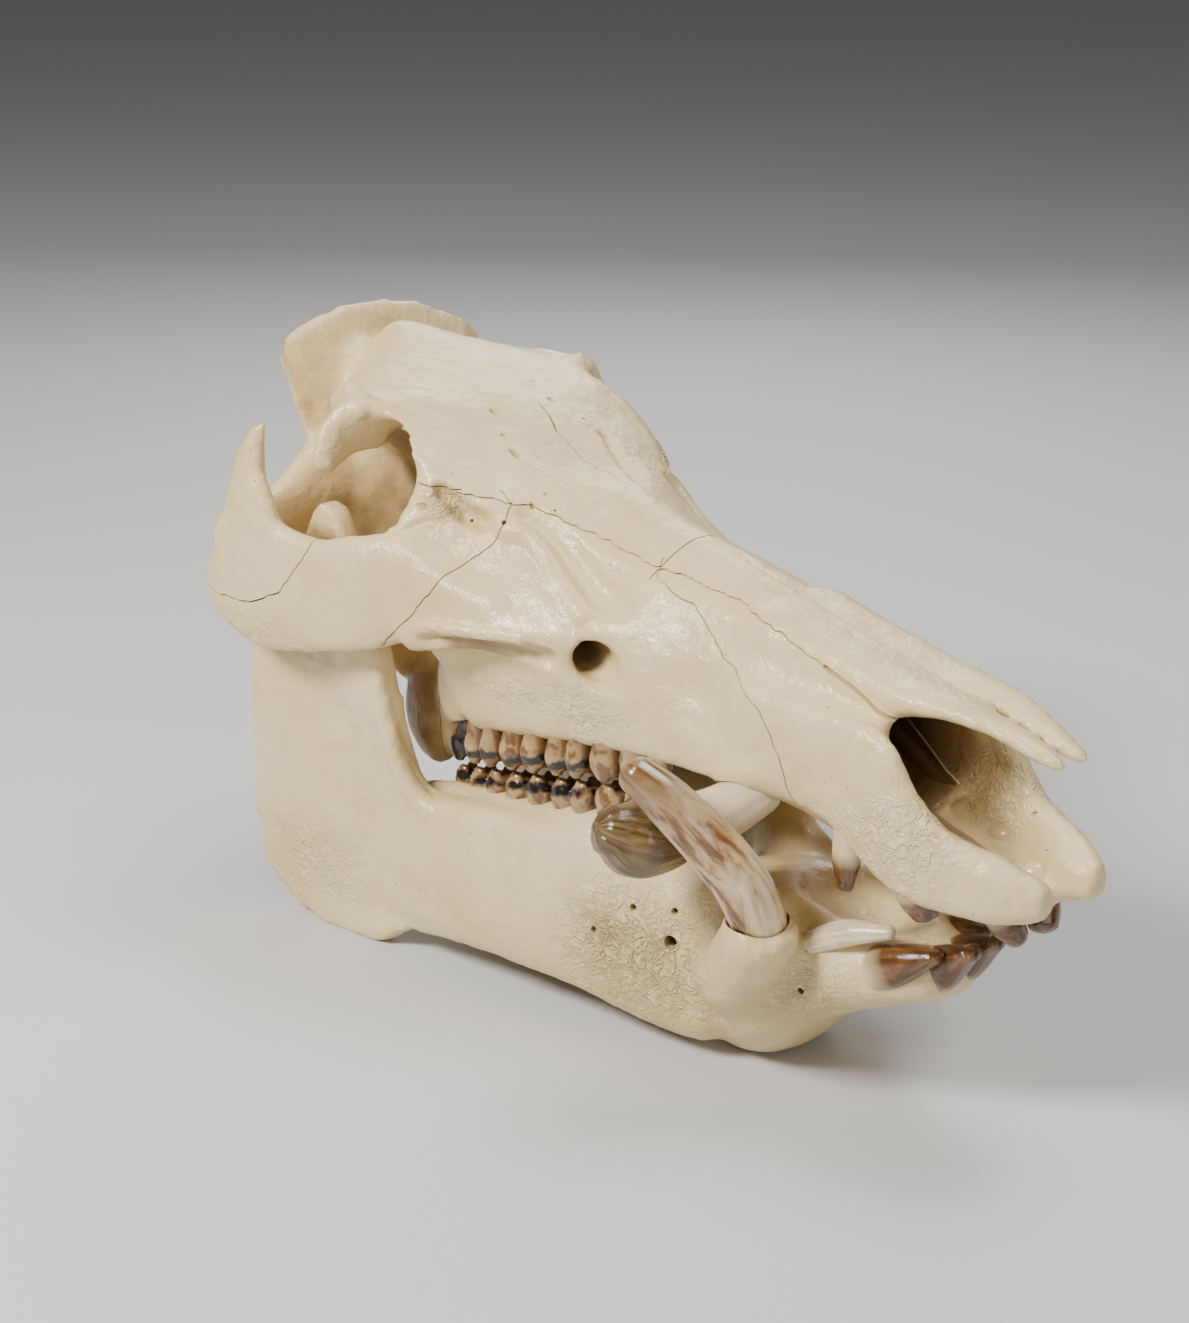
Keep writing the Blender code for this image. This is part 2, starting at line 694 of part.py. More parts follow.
def part_bones(skull):
    """Cuts the cranium along its sutures; returns its pieces, the largest first."""
    sheets = [
        curtain(ROOF_SUTURE, -90, 90),
        curtain(ORBIT_WALL, -JUGAL_DEPTH, JUGAL_DEPTH),
        curtain(PREMAXILLARY_SUTURE, -60, 60),
        prism([(NASAL_BACK, 146), (330, 100), (330, 180), (NASAL_BACK, 180)], -GAP / 2, GAP / 2),
        prism([(NASAL_BACK, 147), (NASAL_BACK + GAP, 147), (NASAL_BACK + GAP, 180), (NASAL_BACK, 180)], -40, 40),
        prism(MEDIAN_SLIT, -GAP / 2, GAP / 2),
    ]
    for side in (1, -1):
        sheets += [
            curtain(JUGAL_SUTURE, side * (JUGAL_DEPTH - GAP), side * 95),
            curtain(TEMPORAL_SUTURE, side * (TEMPORAL_DEPTH - GAP), side * 95),
            curtain([(70, 168.2), (96.5, 165)], side * (JUGAL_DEPTH - GAP), side * 95),
            prism(JUGAL_SUTURE + ((96, 165.1), (64, 168.8)),
                  side * (JUGAL_DEPTH - GAP), side * JUGAL_DEPTH),
            prism(TEMPORAL_SUTURE[:5] + ((50, 90), (-12, 90)),
                  side * (TEMPORAL_DEPTH - GAP), side * TEMPORAL_DEPTH),
        ]
    for sheet in sheets:
        combine(skull, link("sheet", mesh_of("sheet", [sheet])), "DIFFERENCE")
    return loose_pieces(skull)


def loose_pieces(obj):
    """The separate closed surfaces of a mesh, as bodies."""
    mesh = bmesh.new()
    mesh.from_mesh(obj.data)
    for vert in mesh.verts:
        vert.tag = False
    groups = []
    for start in mesh.verts:
        if start.tag:
            continue
        start.tag = True
        group, edge = [start], [start]
        while edge:
            for e in edge.pop().link_edges:
                for vert in e.verts:
                    if not vert.tag:
                        vert.tag = True
                        group.append(vert)
                        edge.append(vert)
        groups.append(group)
    groups.sort(key=len, reverse=True)
    bodies = []
    for group in groups:
        index = {vert: i for i, vert in enumerate(group)}
        faces = {}
        for vert in group:
            for f in vert.link_faces:
                faces.setdefault(frozenset(index[v] for v in f.verts), {})[f.index] = [index[v] for v in f.verts]
        single = [f for copies in faces.values() if len(copies) == 1 for f in copies.values()]
        bodies.append((np.array([vert.co for vert in group]), sorted(single)))
    mesh.free()
    return bodies


# Assembly

def colour_name(colour):
    return {BONE: "bone", IVORY: "ivory", BROWN_ENAMEL: "brown_enamel"}[colour]


def finish(obj, colour, origin_x, roughness=0.4):
    """Turns a solid into metres about the row frame and gives it its material."""
    obj.data.transform(Matrix.Scale(MM, 4) @ Matrix.Translation((-origin_x, 0, 0)))
    name = colour_name(colour)
    material = bpy.data.materials.get(name) or bpy.data.materials.new(name)
    material.use_nodes = True
    shader = material.node_tree.nodes["Principled BSDF"]
    shader.inputs["Base Color"].default_value = colour
    shader.inputs["Roughness"].default_value = roughness
    obj.data.materials.clear()
    obj.data.materials.append(material)


def bone_name(verts):
    """Which bone of the cranium a loose piece is, told from its extent."""
    low, high = verts.min(0), verts.max(0)
    middle = (low + high) / 2
    side = "left" if middle[1] > 0 else "right"
    if low[0] < 20 and high[2] > 190:
        return "braincase"
    if low[0] > NASAL_BACK - 5 and low[2] > 112:
        return f"nasal_{side}"
    if high[0] > 290:
        return f"premaxilla_{side}"
    if abs(middle[1]) > 45:
        return f"zygomatic_{side}"
    return "maxilla"


def main():
    for obj in list(bpy.data.objects):
        bpy.data.objects.remove(obj, do_unlink=True)
    skull = thin(cranium(), CRANIUM_FACES)
    jaw = level_base(thin(mandible(), MANDIBLE_FACES))
    for body in both([upper_tusk(0.5)]):
        combine(skull, link("socket", mesh_of("socket", [body])), "DIFFERENCE")
    for body in both([lower_tusk(0.5)]):
        combine(jaw, link("socket", mesh_of("socket", [body])), "DIFFERENCE")
    bones = {"mandible": jaw}
    for verts, faces in part_bones(skull):
        name = bone_name(verts)
        if name not in bones:
            bones[name] = link(name, mesh_of(name, [(verts, faces)]))
    discard(skull)
    for tooth in cheek_row(1) + incisors(LOWER_INCISORS):
        combine(bones["mandible"], link("tooth", mesh_of("tooth", [tooth])), "UNION")
    for tooth in cheek_row(-1):
        combine(bones["maxilla"], link("tooth", mesh_of("tooth", [tooth])), "UNION")
    for tooth in incisors(UPPER_INCISORS):
        side = "left" if tooth[0][:, 1].mean() > 0 else "right"
        combine(bones[f"premaxilla_{side}"], link("tooth", mesh_of("tooth", [tooth])), "UNION")
    for obj in bones.values():
        largest_only(obj)
    spans = np.array([(v.co.x, v.co.z) for obj in bones.values() for v in obj.data.vertices])
    origin_x = (spans[:, 0].min() + spans[:, 0].max()) / 2
    for obj in bones.values():
        finish(obj, BONE, origin_x)
    for name, tusk, colour in (("tusk_upper", upper_tusk, BROWN_ENAMEL), ("tusk_lower", lower_tusk, IVORY)):
        for side, body in (("left", tusk()), ("right", mirrored(tusk()))):
            finish(link(f"{name}_{side}", mesh_of(name, [body])), colour, origin_x)


main()
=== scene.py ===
"""Dressed skull of an adult boar, seen as in the photograph.

The bones are lofted from the same stations as the solids of the part, in millimetres: x runs from the
back of the skull (0) to the snout, y is the animal's left and z is the height above the surface.  They
are then subdivided, sculpted, drilled and parted along uneven sutures.  Crowns, enamel, tusks and the
thin plates of the nose are made here.
"""

import json
import math

import bmesh
import bpy
import numpy as np
from mathutils import Matrix, Vector, kdtree, noise
from mathutils.bvhtree import BVHTree

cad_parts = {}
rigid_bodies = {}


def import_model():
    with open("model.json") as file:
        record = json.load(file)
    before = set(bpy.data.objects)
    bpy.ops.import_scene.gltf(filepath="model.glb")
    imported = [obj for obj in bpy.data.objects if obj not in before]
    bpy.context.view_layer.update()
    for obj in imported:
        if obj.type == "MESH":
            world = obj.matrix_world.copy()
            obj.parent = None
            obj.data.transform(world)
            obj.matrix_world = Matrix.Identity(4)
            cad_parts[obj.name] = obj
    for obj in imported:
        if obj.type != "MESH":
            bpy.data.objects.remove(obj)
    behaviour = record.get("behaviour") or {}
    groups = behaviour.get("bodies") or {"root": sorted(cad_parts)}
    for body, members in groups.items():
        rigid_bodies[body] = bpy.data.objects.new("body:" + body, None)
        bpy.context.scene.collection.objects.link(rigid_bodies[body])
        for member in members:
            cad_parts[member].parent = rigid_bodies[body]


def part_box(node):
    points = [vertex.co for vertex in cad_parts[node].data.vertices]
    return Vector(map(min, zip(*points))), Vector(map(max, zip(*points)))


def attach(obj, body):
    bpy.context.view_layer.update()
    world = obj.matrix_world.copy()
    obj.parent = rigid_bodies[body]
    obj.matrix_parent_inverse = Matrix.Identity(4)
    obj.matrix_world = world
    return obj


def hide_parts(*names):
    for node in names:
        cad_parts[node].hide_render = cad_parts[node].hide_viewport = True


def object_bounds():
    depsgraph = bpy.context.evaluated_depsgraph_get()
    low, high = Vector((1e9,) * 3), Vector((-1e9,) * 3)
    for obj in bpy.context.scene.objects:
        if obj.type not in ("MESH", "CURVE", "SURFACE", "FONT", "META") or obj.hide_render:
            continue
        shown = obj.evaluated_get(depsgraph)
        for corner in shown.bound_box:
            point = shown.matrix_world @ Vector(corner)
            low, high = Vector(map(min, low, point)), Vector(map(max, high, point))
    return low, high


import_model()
cad_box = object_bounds()

MM = 0.001
GAP = 0.5                  # width of the cracks along the sutures
VOXEL = 1.9                # grain of the remesh that fuses the lofts, halved by the subdivision
CREST_LEAN = 0.06          # the crest's right wing stands a little higher
RIGHT_SPUR = 46.5          # height of the spur over the cheek arch, on either side
LEFT_SPUR = 38.0


# Lofts

def catmull(rows, per_span):
    """Smooth rows of numbers through the given rows, per_span steps from one to the next."""
    rows = np.array(rows, float)
    ends = np.vstack([2 * rows[0] - rows[1], rows, 2 * rows[-1] - rows[-2]])
    out = []
    for i in range(1, len(ends) - 2):
        before, here, there, after = ends[i - 1:i + 3]
        for t in np.arange(per_span) / per_span:
            out.append(0.5 * (2 * here + (there - before) * t
                              + (2 * before - 5 * here + 4 * there - after) * t ** 2
                              + (3 * here - before - 3 * there + after) * t ** 3))
    out.append(rows[-1])
    return np.array(out)


def ring(centre, wide, tall, half_wide, half_tall, sides, power):
    """Points of a superellipse; power 2 is an ellipse and a higher one is boxier."""
    points = []
    for k in range(sides):
        c = math.cos(2 * math.pi * k / sides)
        s = math.sin(2 * math.pi * k / sides)
        points.append(centre + wide * half_wide * math.copysign(abs(c) ** (2 / power), c)
                      + tall * half_tall * math.copysign(abs(s) ** (2 / power), s))
    return points


def skin(rings):
    """Closed body over rings of equal count, with a pole at each end."""
    sides = len(rings[0])
    verts = [p for r in rings for p in r]
    faces = []
    for i in range(len(rings) - 1):
        for k in range(sides):
            a = i * sides + k
            b = i * sides + (k + 1) % sides
            faces.append((a, b, b + sides, a + sides))
    faces.append(tuple(range(sides - 1, -1, -1)))
    faces.append(tuple(range((len(rings) - 1) * sides, len(rings) * sides)))
    return np.array(verts), faces


def tube(rows, sides=20, power=2.0, per_span=5, up=(0, 0, 1), dome=0.7, rounds=(0.45, 0.9, 1.35),
         facing=None):
    """Body along a path.  Each row: x, y, z of the path, half width across `up`, half size along it.

    The rounds are the angles of the rings that dome its ends.  The rings stand square to the path,
    or all of them to `facing`.
    """
    rows = catmull(rows, per_span)
    path = rows[:, :3]
    if facing is None:
        tangent = np.gradient(path, axis=0)
    else:
        tangent = np.tile(np.array(facing, float), (len(path), 1))
    tangent /= np.linalg.norm(tangent, axis=1)[:, None]
    rings = []
    for i, (p, t, half) in enumerate(zip(path, tangent, rows[:, 3:5])):
        wide = np.cross(up, t)
        wide /= np.linalg.norm(wide)
        tall = np.cross(t, wide)
        if i == 0:
            rings += [ring(p - t * dome * min(half) * math.sin(a), wide, tall,
                           *(half * math.cos(a)), sides, power) for a in rounds[::-1]]
        rings.append(ring(p, wide, tall, half[0], half[1], sides, power))
        if i == len(path) - 1:
            rings += [ring(p + t * dome * min(half) * math.sin(a), wide, tall,
                           *(half * math.cos(a)), sides, power) for a in rounds]
    return skin(rings)


def blob(centre, radii, lean=0.0):
    """Ellipsoid; lean tips its x axis up, in degrees."""
    ball = bmesh.new()
    bmesh.ops.create_icosphere(ball, subdivisions=3, radius=1.0)
    verts = np.array([v.co for v in ball.verts]) * radii
    faces = [tuple(v.index for v in f.verts) for f in ball.faces]
    ball.free()
    c, s = math.cos(math.radians(lean)), math.sin(math.radians(lean))
    verts = verts @ np.array([[c, 0, s], [0, 1, 0], [-s, 0, c]])
    return verts + np.array(centre, float), faces


def half_sections(stations, per_span=5, fine=4):
    """Body whose cross-sections across x are given by their left half, top to bottom."""
    rows = catmull([[s[0]] + [v for point in s[1:] for v in point] for s in stations], per_span)
    rings = []
    for row in rows:
        half = row[1:].reshape(-1, 2)
        loop = np.vstack([half, (half[1:-1] * (-1, 1))[::-1]])
        closed = np.vstack([loop[-1:], loop, loop[:2]])
        points = []
        for i in range(1, len(closed) - 2):
            a, b, c, d = closed[i - 1:i + 3]
            for t in np.arange(fine) / fine:
                y, z = 0.5 * (2 * b + (c - a) * t + (2 * a - 5 * b + 4 * c - d) * t ** 2
                              + (3 * b - a - 3 * c + d) * t ** 3)
                points.append(np.array((row[0], y, z)))
        rings.append(points)
    return skin(rings)


def plate(outline, middle, half_thickness, fine=3):
    """Slab seen from the side: outline of (x, z), its middle plane at y = middle(x, z)."""
    loop = np.array(outline, float)
    closed = np.vstack([loop[-1:], loop, loop[:2]])
    edge = []
    for i in range(1, len(closed) - 2):
        a, b, c, d = closed[i - 1:i + 3]
        for t in np.arange(fine) / fine:
            edge.append(0.5 * (2 * b + (c - a) * t + (2 * a - 5 * b + 4 * c - d) * t ** 2
                               + (3 * b - a - 3 * c + d) * t ** 3))
    rings = []
    for side in (-1, 1):
        rings.append([np.array((x, middle(x, z) + side * half_thickness, z)) for x, z in edge])
    return skin(rings)


def mirrored(body):
    """The same body on the animal's other side."""
    verts, faces = body
    return verts * (1, -1, 1), faces


def both(bodies):
    return bodies + [mirrored(b) for b in bodies]


# Fusing and cutting

def link(name, mesh):
    obj = bpy.data.objects.new(name, mesh)
    bpy.context.scene.collection.objects.link(obj)
    return obj


def mesh_of(name, bodies):
    """One mesh that holds all the bodies, each closed and with its faces pointing out."""
    joined = bmesh.new()
    for verts, faces in bodies:
        made = [joined.verts.new(v) for v in verts]
        for f in faces:
            joined.faces.new([made[i] for i in f])
    bmesh.ops.recalc_face_normals(joined, faces=joined.faces)
    mesh = bpy.data.meshes.new(name)
    joined.to_mesh(mesh)
    joined.free()
    return mesh


def settle(obj):
    """Applies the object's modifiers to its mesh."""
    evaluated = obj.evaluated_get(bpy.context.evaluated_depsgraph_get())
    mesh = bpy.data.meshes.new_from_object(evaluated)
    obj.modifiers.clear()
    old = obj.data
    obj.data = mesh
    bpy.data.meshes.remove(old)
    return obj


def discard(obj):
    bpy.data.objects.remove(obj, do_unlink=True)


def remesh(obj, soften):
    fuse = obj.modifiers.new("Fuse", "REMESH")
    fuse.mode = "VOXEL"
    fuse.voxel_size = VOXEL
    smooth = obj.modifiers.new("Soften", "SMOOTH")
    smooth.factor = 0.5
    smooth.iterations = soften
    return settle(obj)


def fused(name, bodies, soften=3):
    return remesh(link(name, mesh_of(name, bodies)), soften)


def combine(obj, other, operation, solver="EXACT"):
    """Boolean of obj with other, which is then gone."""
    boolean = obj.modifiers.new("Combine", "BOOLEAN")
    boolean.operation = operation
    boolean.solver = solver
    boolean.object = other
    settle(obj)
    discard(other)
    return obj


def press(obj, strokes):
    """Sculpts both sides.  Each stroke: centre on the left (y > 0), radius, push."""
    co = np.array([v.co for v in obj.data.vertices])
    for centre, radius, push in strokes:
        for side in (1, -1):
            away = (co - np.array(centre) * (1, side, 1)) / np.array(radius)
            weight = np.clip(1 - (away ** 2).sum(1), 0, None) ** 2
            co += weight[:, None] * np.array(push) * (1, side, 1)
    obj.data.vertices.foreach_set("co", co.ravel())
    obj.data.update()
    return obj


# Sculpting

def fine(obj, levels=1):
    """Halves the grain of the remesh and rounds it."""
    subdivision = obj.modifiers.new("Fine", "SUBSURF")
    subdivision.levels = subdivision.render_levels = levels
    return settle(obj)


def positions(mesh):
    co = np.empty(len(mesh.vertices) * 3, np.float32)
    mesh.vertices.foreach_get("co", co)
    return co.reshape(-1, 3).astype(float)


def normals(mesh):
    no = np.empty(len(mesh.vertices) * 3, np.float32)
    mesh.vertex_normals.foreach_get("vector", no)
    return no.reshape(-1, 3).astype(float)


def moved(obj, co):
    obj.data.vertices.foreach_set("co", co.astype(np.float32).ravel())
    obj.data.update()


def rough(co, grain, seed, octaves=3):
    """Fractal noise about -1 to 1 at points, its lumps about `grain` mm across."""
    shift = Vector((seed, 0, 0))
    return np.array([noise.fractal(Vector(p) / grain + shift, 0.9, 2.0, octaves) for p in co])


def ball_weight(co, centre, radius):
    """1 at a centre, 0 at its radius; counts on both sides of the animal."""
    away = (co * (1, 1, 1) - np.array(centre) * (1, 1, 1))
    away[:, 1] = np.abs(co[:, 1]) - centre[1]
    return np.clip(1 - ((away / np.array(radius, float)) ** 2).sum(1), 0, None) ** 1.5


def line_weight(co, points, radius):
    """1 along a line through points, 0 at a radius from it."""
    nearest = np.full(len(co), 1e9)
    for a, b in zip(points[:-1], points[1:]):
        a, b = np.array(a, float), np.array(b, float)
        t = np.clip(((co - a) @ (b - a)) / ((b - a) @ (b - a)), 0, 1)
        nearest = np.minimum(nearest, np.linalg.norm(co - a - t[:, None] * (b - a), axis=1))
    return np.clip(1 - (nearest / radius) ** 2, 0, None) ** 1.5


def mirror_line(points):
    return [(x, -y, z) for x, y, z in points]


# Places where the bone is rough and wrinkled: centre on the left, radii, share
WRINKLED = (
    ((176, 34, 34), (52, 30, 34), 1.0),
    ((232, 24, 38), (36, 26, 26), 0.8),
    ((34, 54, 22), (44, 22, 34), 0.55),
    ((60, 52, 66), (26, 20, 40), 0.3),
    ((128, 50, 106), (46, 20, 12), 0.7),
    ((150, 36, 106), (34, 14, 16), 0.6),
    ((268, 24, 98), (34, 16, 24), 0.75),
    ((30, 76, 112), (50, 14, 12), 0.5),
    ((98, 46, 161), (14, 10, 8), 0.9),
)


def wrinkles(co):
    """How wrinkled the bone is at points, from 0 to 1."""
    share = np.full(len(co), 0.12)
    for centre, radius, weight in WRINKLED:
        share = np.maximum(share, weight * ball_weight(co, centre, radius))
    return share


def weathered(obj, seed):
    """Uneven surface of real bone, more so where it is wrinkled."""
    carved(obj)
    co, no = positions(obj.data), normals(obj.data)
    share = wrinkles(co)
    swell = 0.35 * rough(co, 17, seed, 2) + (0.12 + 0.32 * share) * rough(co, 5.5, seed + 7, 2)
    folds = share * 0.5 * (1 - 2 * np.abs(rough(co + 3 * no, 4.5, seed + 19, 2)))
    moved(obj, co + no * (swell + folds)[:, None])
    return obj


# Where the grain of the remesh is evened out: centre on the left, radii, passes
SOFTENED = (
    ((140, 0, 100), (700, 500, 500), 4),
    ((74, 46, 178), (26, 16, 17), 16),
    ((20, 28, 190), (28, 24, 20), 30),
    ((60, 14, 188), (44, 40, 18), 14),
    ((222, 32, 62), (15, 15, 15), 26),
)


def softened(obj):
    """Rounds the coarse bones, most of all the brow and the edge of the temple."""
    co = positions(obj.data)
    ends = np.empty(len(obj.data.edges) * 2, np.int32)
    obj.data.edges.foreach_get("vertices", ends)
    a, b = ends.reshape(-1, 2).T
    size = len(co)
    count = np.bincount(ends, minlength=size)[:, None]
    for centre, radius, passes in SOFTENED:
        weight = 0.5 * np.clip(2 * ball_weight(co, centre, radius), 0, 1)[:, None]
        for _ in range(passes):
            total = [np.bincount(a, co[b, k], size) + np.bincount(b, co[a, k], size) for k in range(3)]
            co += weight * (np.stack(total, 1) / count - co)
    moved(obj, co)
    return obj


# Furrows (depth above 0) and ridges (below 0) along lines on the left: points, reach, depth
CARVED = (
    # furrow and lips of the lacrimal, in front of the orbit
    (((95.2, 46.5, 164.1), (98.1, 45.3, 162.3), (100.7, 44.2, 160), (103.3, 43.1, 157.8),
      (107.8, 40.4, 156.4)),
     4.2, 4.2),
    (((96.4, 47.9, 158.2), (94.7, 48.1, 160.4), (92.1, 48.4, 163.5)), 2.8, -1.3),
    (((95.5, 50, 155.5), (93.2, 51.8, 155.3), (90.9, 54, 153.9), (88, 57.5, 151.5)), 2.0, 1.3),
    (((84, 52, 162), (84.5, 54.5, 157), (83.5, 57.5, 153)), 2.6, -1.2),
    # facial crest and the hollow under it
    (((107, 60.9, 121.5), (114, 58.6, 121.5), (121, 56, 121.5), (127, 53.4, 122), (133, 50.6, 122.5),
      (138.5, 47.2, 122), (143, 44.7, 121.5)), 5.0, 3.4),
    (((100, 61.5, 124.5), (106.4, 60.4, 125.5), (114, 58.6, 126.5), (122.7, 55.7, 127),
      (130.8, 52.5, 127.4),
      (136.6, 49.5, 127)), 3.2, -1.2),
    # ridge of the cheek and the channel in front of it
    (((115, 36.4, 154.6), (118.6, 34.2, 154.4), (122.6, 32.8, 153.1), (128.6, 32.6, 149.6),
      (132.5, 33.2, 146.5),
      (136.7, 34.8, 143.3), (141.3, 34.4, 141.2), (150, 36, 136)), 4.8, -1.7),
    (((119.4, 30.9, 159.4), (124.4, 29.1, 157.3), (129.2, 27.9, 154.6), (134.3, 27.5, 150.9),
      (140.2, 27.4, 145.8), (147.4, 28.4, 141.4), (160, 29, 138)), 5.5, 1.8),
    # furrow in front of the supraorbital hole
    (((98, 18.6, 173.6), (101, 18.5, 172.1), (106.4, 16, 169.8), (114, 13.4, 167),
      (125, 10.5, 164)), 2.8, 1.2),
    # ramus: its front ridge, the hollow behind it and the groove beside the last molar
    (((70.5, 55.3, 97.9), (73.1, 54.3, 84.6), (76.7, 52.5, 71.2), (81.4, 50.1, 63.2),
      (88, 47, 54)), 4.5, -1.5),
    (((30, 60, 100), (40, 58, 92), (48, 57, 80)), 11.0, 1.8),
    (((76.2, 47.8, 80.4), (76.3, 44, 70.7), (80, 40, 63), (86, 38, 60)), 3.2, 1.8),
    # hollow between the wing of the crest and the forehead
    (((7, 42, 196), (10.4, 38.8, 184), (12.8, 35.5, 177), (16, 34, 166)), 5.0, 1.6),
    # edge of the forehead over the temple
    (((22, 24, 195), (34, 41, 190), (48, 47, 187), (58, 49, 184)), 3.5, -1.0),
)


def carved(obj):
    """Presses the furrows into both sides and raises the ridges."""
    for points, reach, depth in CARVED:
        for line in (points, mirror_line(points)):
            co, no = positions(obj.data), normals(obj.data)
            weight = line_weight(co, line, reach)
            facing = np.clip(1.6 * (no @ side_of(line)) + 0.9, 0, 1)
            moved(obj, co - no * (depth * weight * facing)[:, None])
    return obj


def side_of(line):
    """The way that the bone under a line looks: outward and up."""
    way = np.array((0.0, 1.0 if line[0][1] > 0 else -1.0, 0.35))
    return way / np.linalg.norm(way)


# Cuts

def slit(path, half, above=3.0, below=2.5):
    """Open crack seen from above: half widths along its path."""
    path = np.array(path, float)
    along = np.gradient(path, axis=0)
    across = np.stack([-along[:, 1], along[:, 0]], 1)
    across /= np.linalg.norm(across, axis=1)[:, None]
    rings = []
    for (x, y, z), (cx, cy), h in zip(path, across, half):
        left, right = (x - cx * h, y - cy * h), (x + cx * h, y + cy * h)
        corners = ((*left, z + above), (*right, z + above), (*right, z - below), (*left, z - below))
        rings.append([np.array(corner) for corner in corners])
    return skin(rings)


def crevice(obj):
    """Gives every face of a cutter the second material slot, for the walls of what it cuts."""
    obj.data.materials.append(None)
    obj.data.materials.append(None)
    obj.data.polygons.foreach_set("material_index", [1] * len(obj.data.polygons))
    return obj


def cut(obj, bodies):
    """Takes bodies away by one Boolean; the walls of the cut get the second material slot."""
    return combine(obj, crevice(link("cutter", mesh_of("cutter", bodies))), "DIFFERENCE", "MANIFOLD")


def drill(path, half, sides=12):
    """Round hole along a path; half is its half width at each point of the path."""
    return tube([(*p, h, h) for p, h in zip(path, half)], sides=sides, per_span=3, up=(0.3, 0.2, 1))


def wandering(curve, reach, seed):
    """The curve with the small bends of a real suture."""
    curve = np.array(curve, float)
    along = np.concatenate([[0], np.cumsum(np.linalg.norm(np.diff(curve, axis=0), axis=1))])
    steps = np.linspace(0, along[-1], max(3, int(along[-1] / 1.2)))
    points = np.stack([np.interp(steps, along, curve[:, i]) for i in (0, 1)], 1)
    for i in range(1, len(points) - 1):
        p = Vector((points[i][0], points[i][1], seed))
        points[i] += (reach * noise.noise(p / 4.0), reach * noise.noise(p / 4.0 + Vector((9, 9, 9))))
        small = 0.4 * reach
        points[i] += (small * noise.noise(p / 1.4), small * noise.noise(p / 1.4 + Vector((5, 5, 5))))
    return tuple((float(x), float(z)) for x, z in points)


def loose_objects(obj, least=60):
    """Parts an object into its closed surfaces, without crumbs."""
    mesh = obj.data
    edges = np.empty(len(mesh.edges) * 2, np.int32)
    mesh.edges.foreach_get("vertices", edges)
    ends = edges.reshape(-1, 2)
    label = np.arange(len(mesh.vertices))
    while True:
        low = np.minimum(label[ends[:, 0]], label[ends[:, 1]])
        spread = label.copy()
        np.minimum.at(spread, ends[:, 0], low)
        np.minimum.at(spread, ends[:, 1], low)
        spread = spread[spread]
        if (spread == label).all():
            break
        label = spread
    parts = []
    roots, counts = np.unique(label, return_counts=True)
    for root in roots[np.argsort(-counts, kind="stable")][:np.count_nonzero(counts >= least)]:
        inside = label == root
        part = bmesh.new()
        part.from_mesh(mesh)
        bmesh.ops.delete(part, geom=[v for v, keep in zip(part.verts, inside) if not keep], context="VERTS")
        piece = bpy.data.meshes.new("piece")
        part.to_mesh(piece)
        part.free()
        parts.append(link("piece", piece))
    discard(obj)
    return parts


# Cranium

def cranial_core():
    """Forehead, braincase and the inner walls of the orbits, as left half sections, top to bottom."""
    return half_sections([
        (12, (0, 201), (6, 198), (18, 184), (25, 166), (28, 148), (27, 126), (20, 108), (0, 101)),
        (24, (0, 199), (22, 193), (27, 181), (26, 166), (26, 148), (27, 128), (20, 108), (0, 102)),
        (38, (0, 195.5), (45, 187.5), (43, 178), (26, 166), (24, 148), (25, 128), (18, 110), (0, 104)),
        (56, (0, 190), (50.5, 184.8), (48, 174), (27, 165), (22, 148), (22, 128), (16, 111), (0, 106)),
        (74, (0, 184.5), (49.5, 180.5), (45.5, 171), (28, 162), (20, 146), (20, 126), (17, 104),
         (0, 98)),
        (90, (0, 178.5), (45, 171.5), (43.5, 163), (34, 156), (24, 142), (24, 120), (22, 96), (0, 88)),
        (108, (0, 171.8), (36, 164), (37, 157), (34, 150), (28, 140), (28, 118), (24, 96), (0, 88)),
    ])


def face():
    """Snout: frontals, lacrimals, maxillae and the bars of the premaxillae beside the nasals."""
    return half_sections([
        (84, (0, 180.5), (45, 172), (52, 163), (59.5, 150), (60, 128), (42, 112), (27, 104), (14, 98),
         (0, 96)),
        (94, (0, 177), (42, 168), (49, 159), (56, 144), (57, 124), (44, 104), (35, 84), (17, 85),
         (0, 89)),
        (106, (0, 172.5), (37, 164), (41, 157), (50, 143), (55, 125), (44, 106), (35, 85.5), (17, 87),
         (0, 91)),
        (120, (0, 168), (30, 160), (33, 154), (44, 142.5), (52, 127), (43, 108), (35.5, 88), (18, 89),
         (0, 94)),
        (140, (0, 161.8), (20.5, 153.5), (27, 149), (37.5, 142), (46.5, 128), (41, 110), (35, 91.5),
         (18, 94),
         (0, 98.5)),
        (160, (0, 157.3), (18, 150), (27, 142.5), (35, 134), (38, 122), (37, 109), (33.5, 94), (17, 97.5),
         (0, 101)),
        (185, (0, 152.6), (17, 146.5), (23, 138), (28, 128), (32, 117), (34, 107), (33, 96.5), (17, 99),
         (0, 102)),
        (210, (0, 147.4), (17, 142.3), (21.5, 134), (26, 124), (29, 113), (31, 104), (30, 96), (16, 98),
         (0, 101)),
        (236, (0, 141.6), (16.5, 136.5), (20, 128), (24, 118), (26.5, 110), (26.5, 102), (24, 96),
         (15, 97),
         (0, 99)),
        (258, (0, 136.8), (15, 131.5), (18.5, 125), (22, 116), (24, 107), (23, 99), (17, 95), (12, 95),
         (0, 96)),
    ])


def pterygoid_swelling():
    """Rounded side of the palatine and pterygoid, seen behind the last molar."""
    return blob((65, 26, 79), (15.5, 6.5, 19.5))


def tuberosity():
    """Rear end of the maxilla, above and behind the last molar."""
    return tube([
        (83, 30, 84, 6, 7),
        (84, 31, 94, 7, 9),
        (90, 33, 108, 9, 9),
        (98, 38, 122, 12, 9),
    ], up=(1, 0, 0))


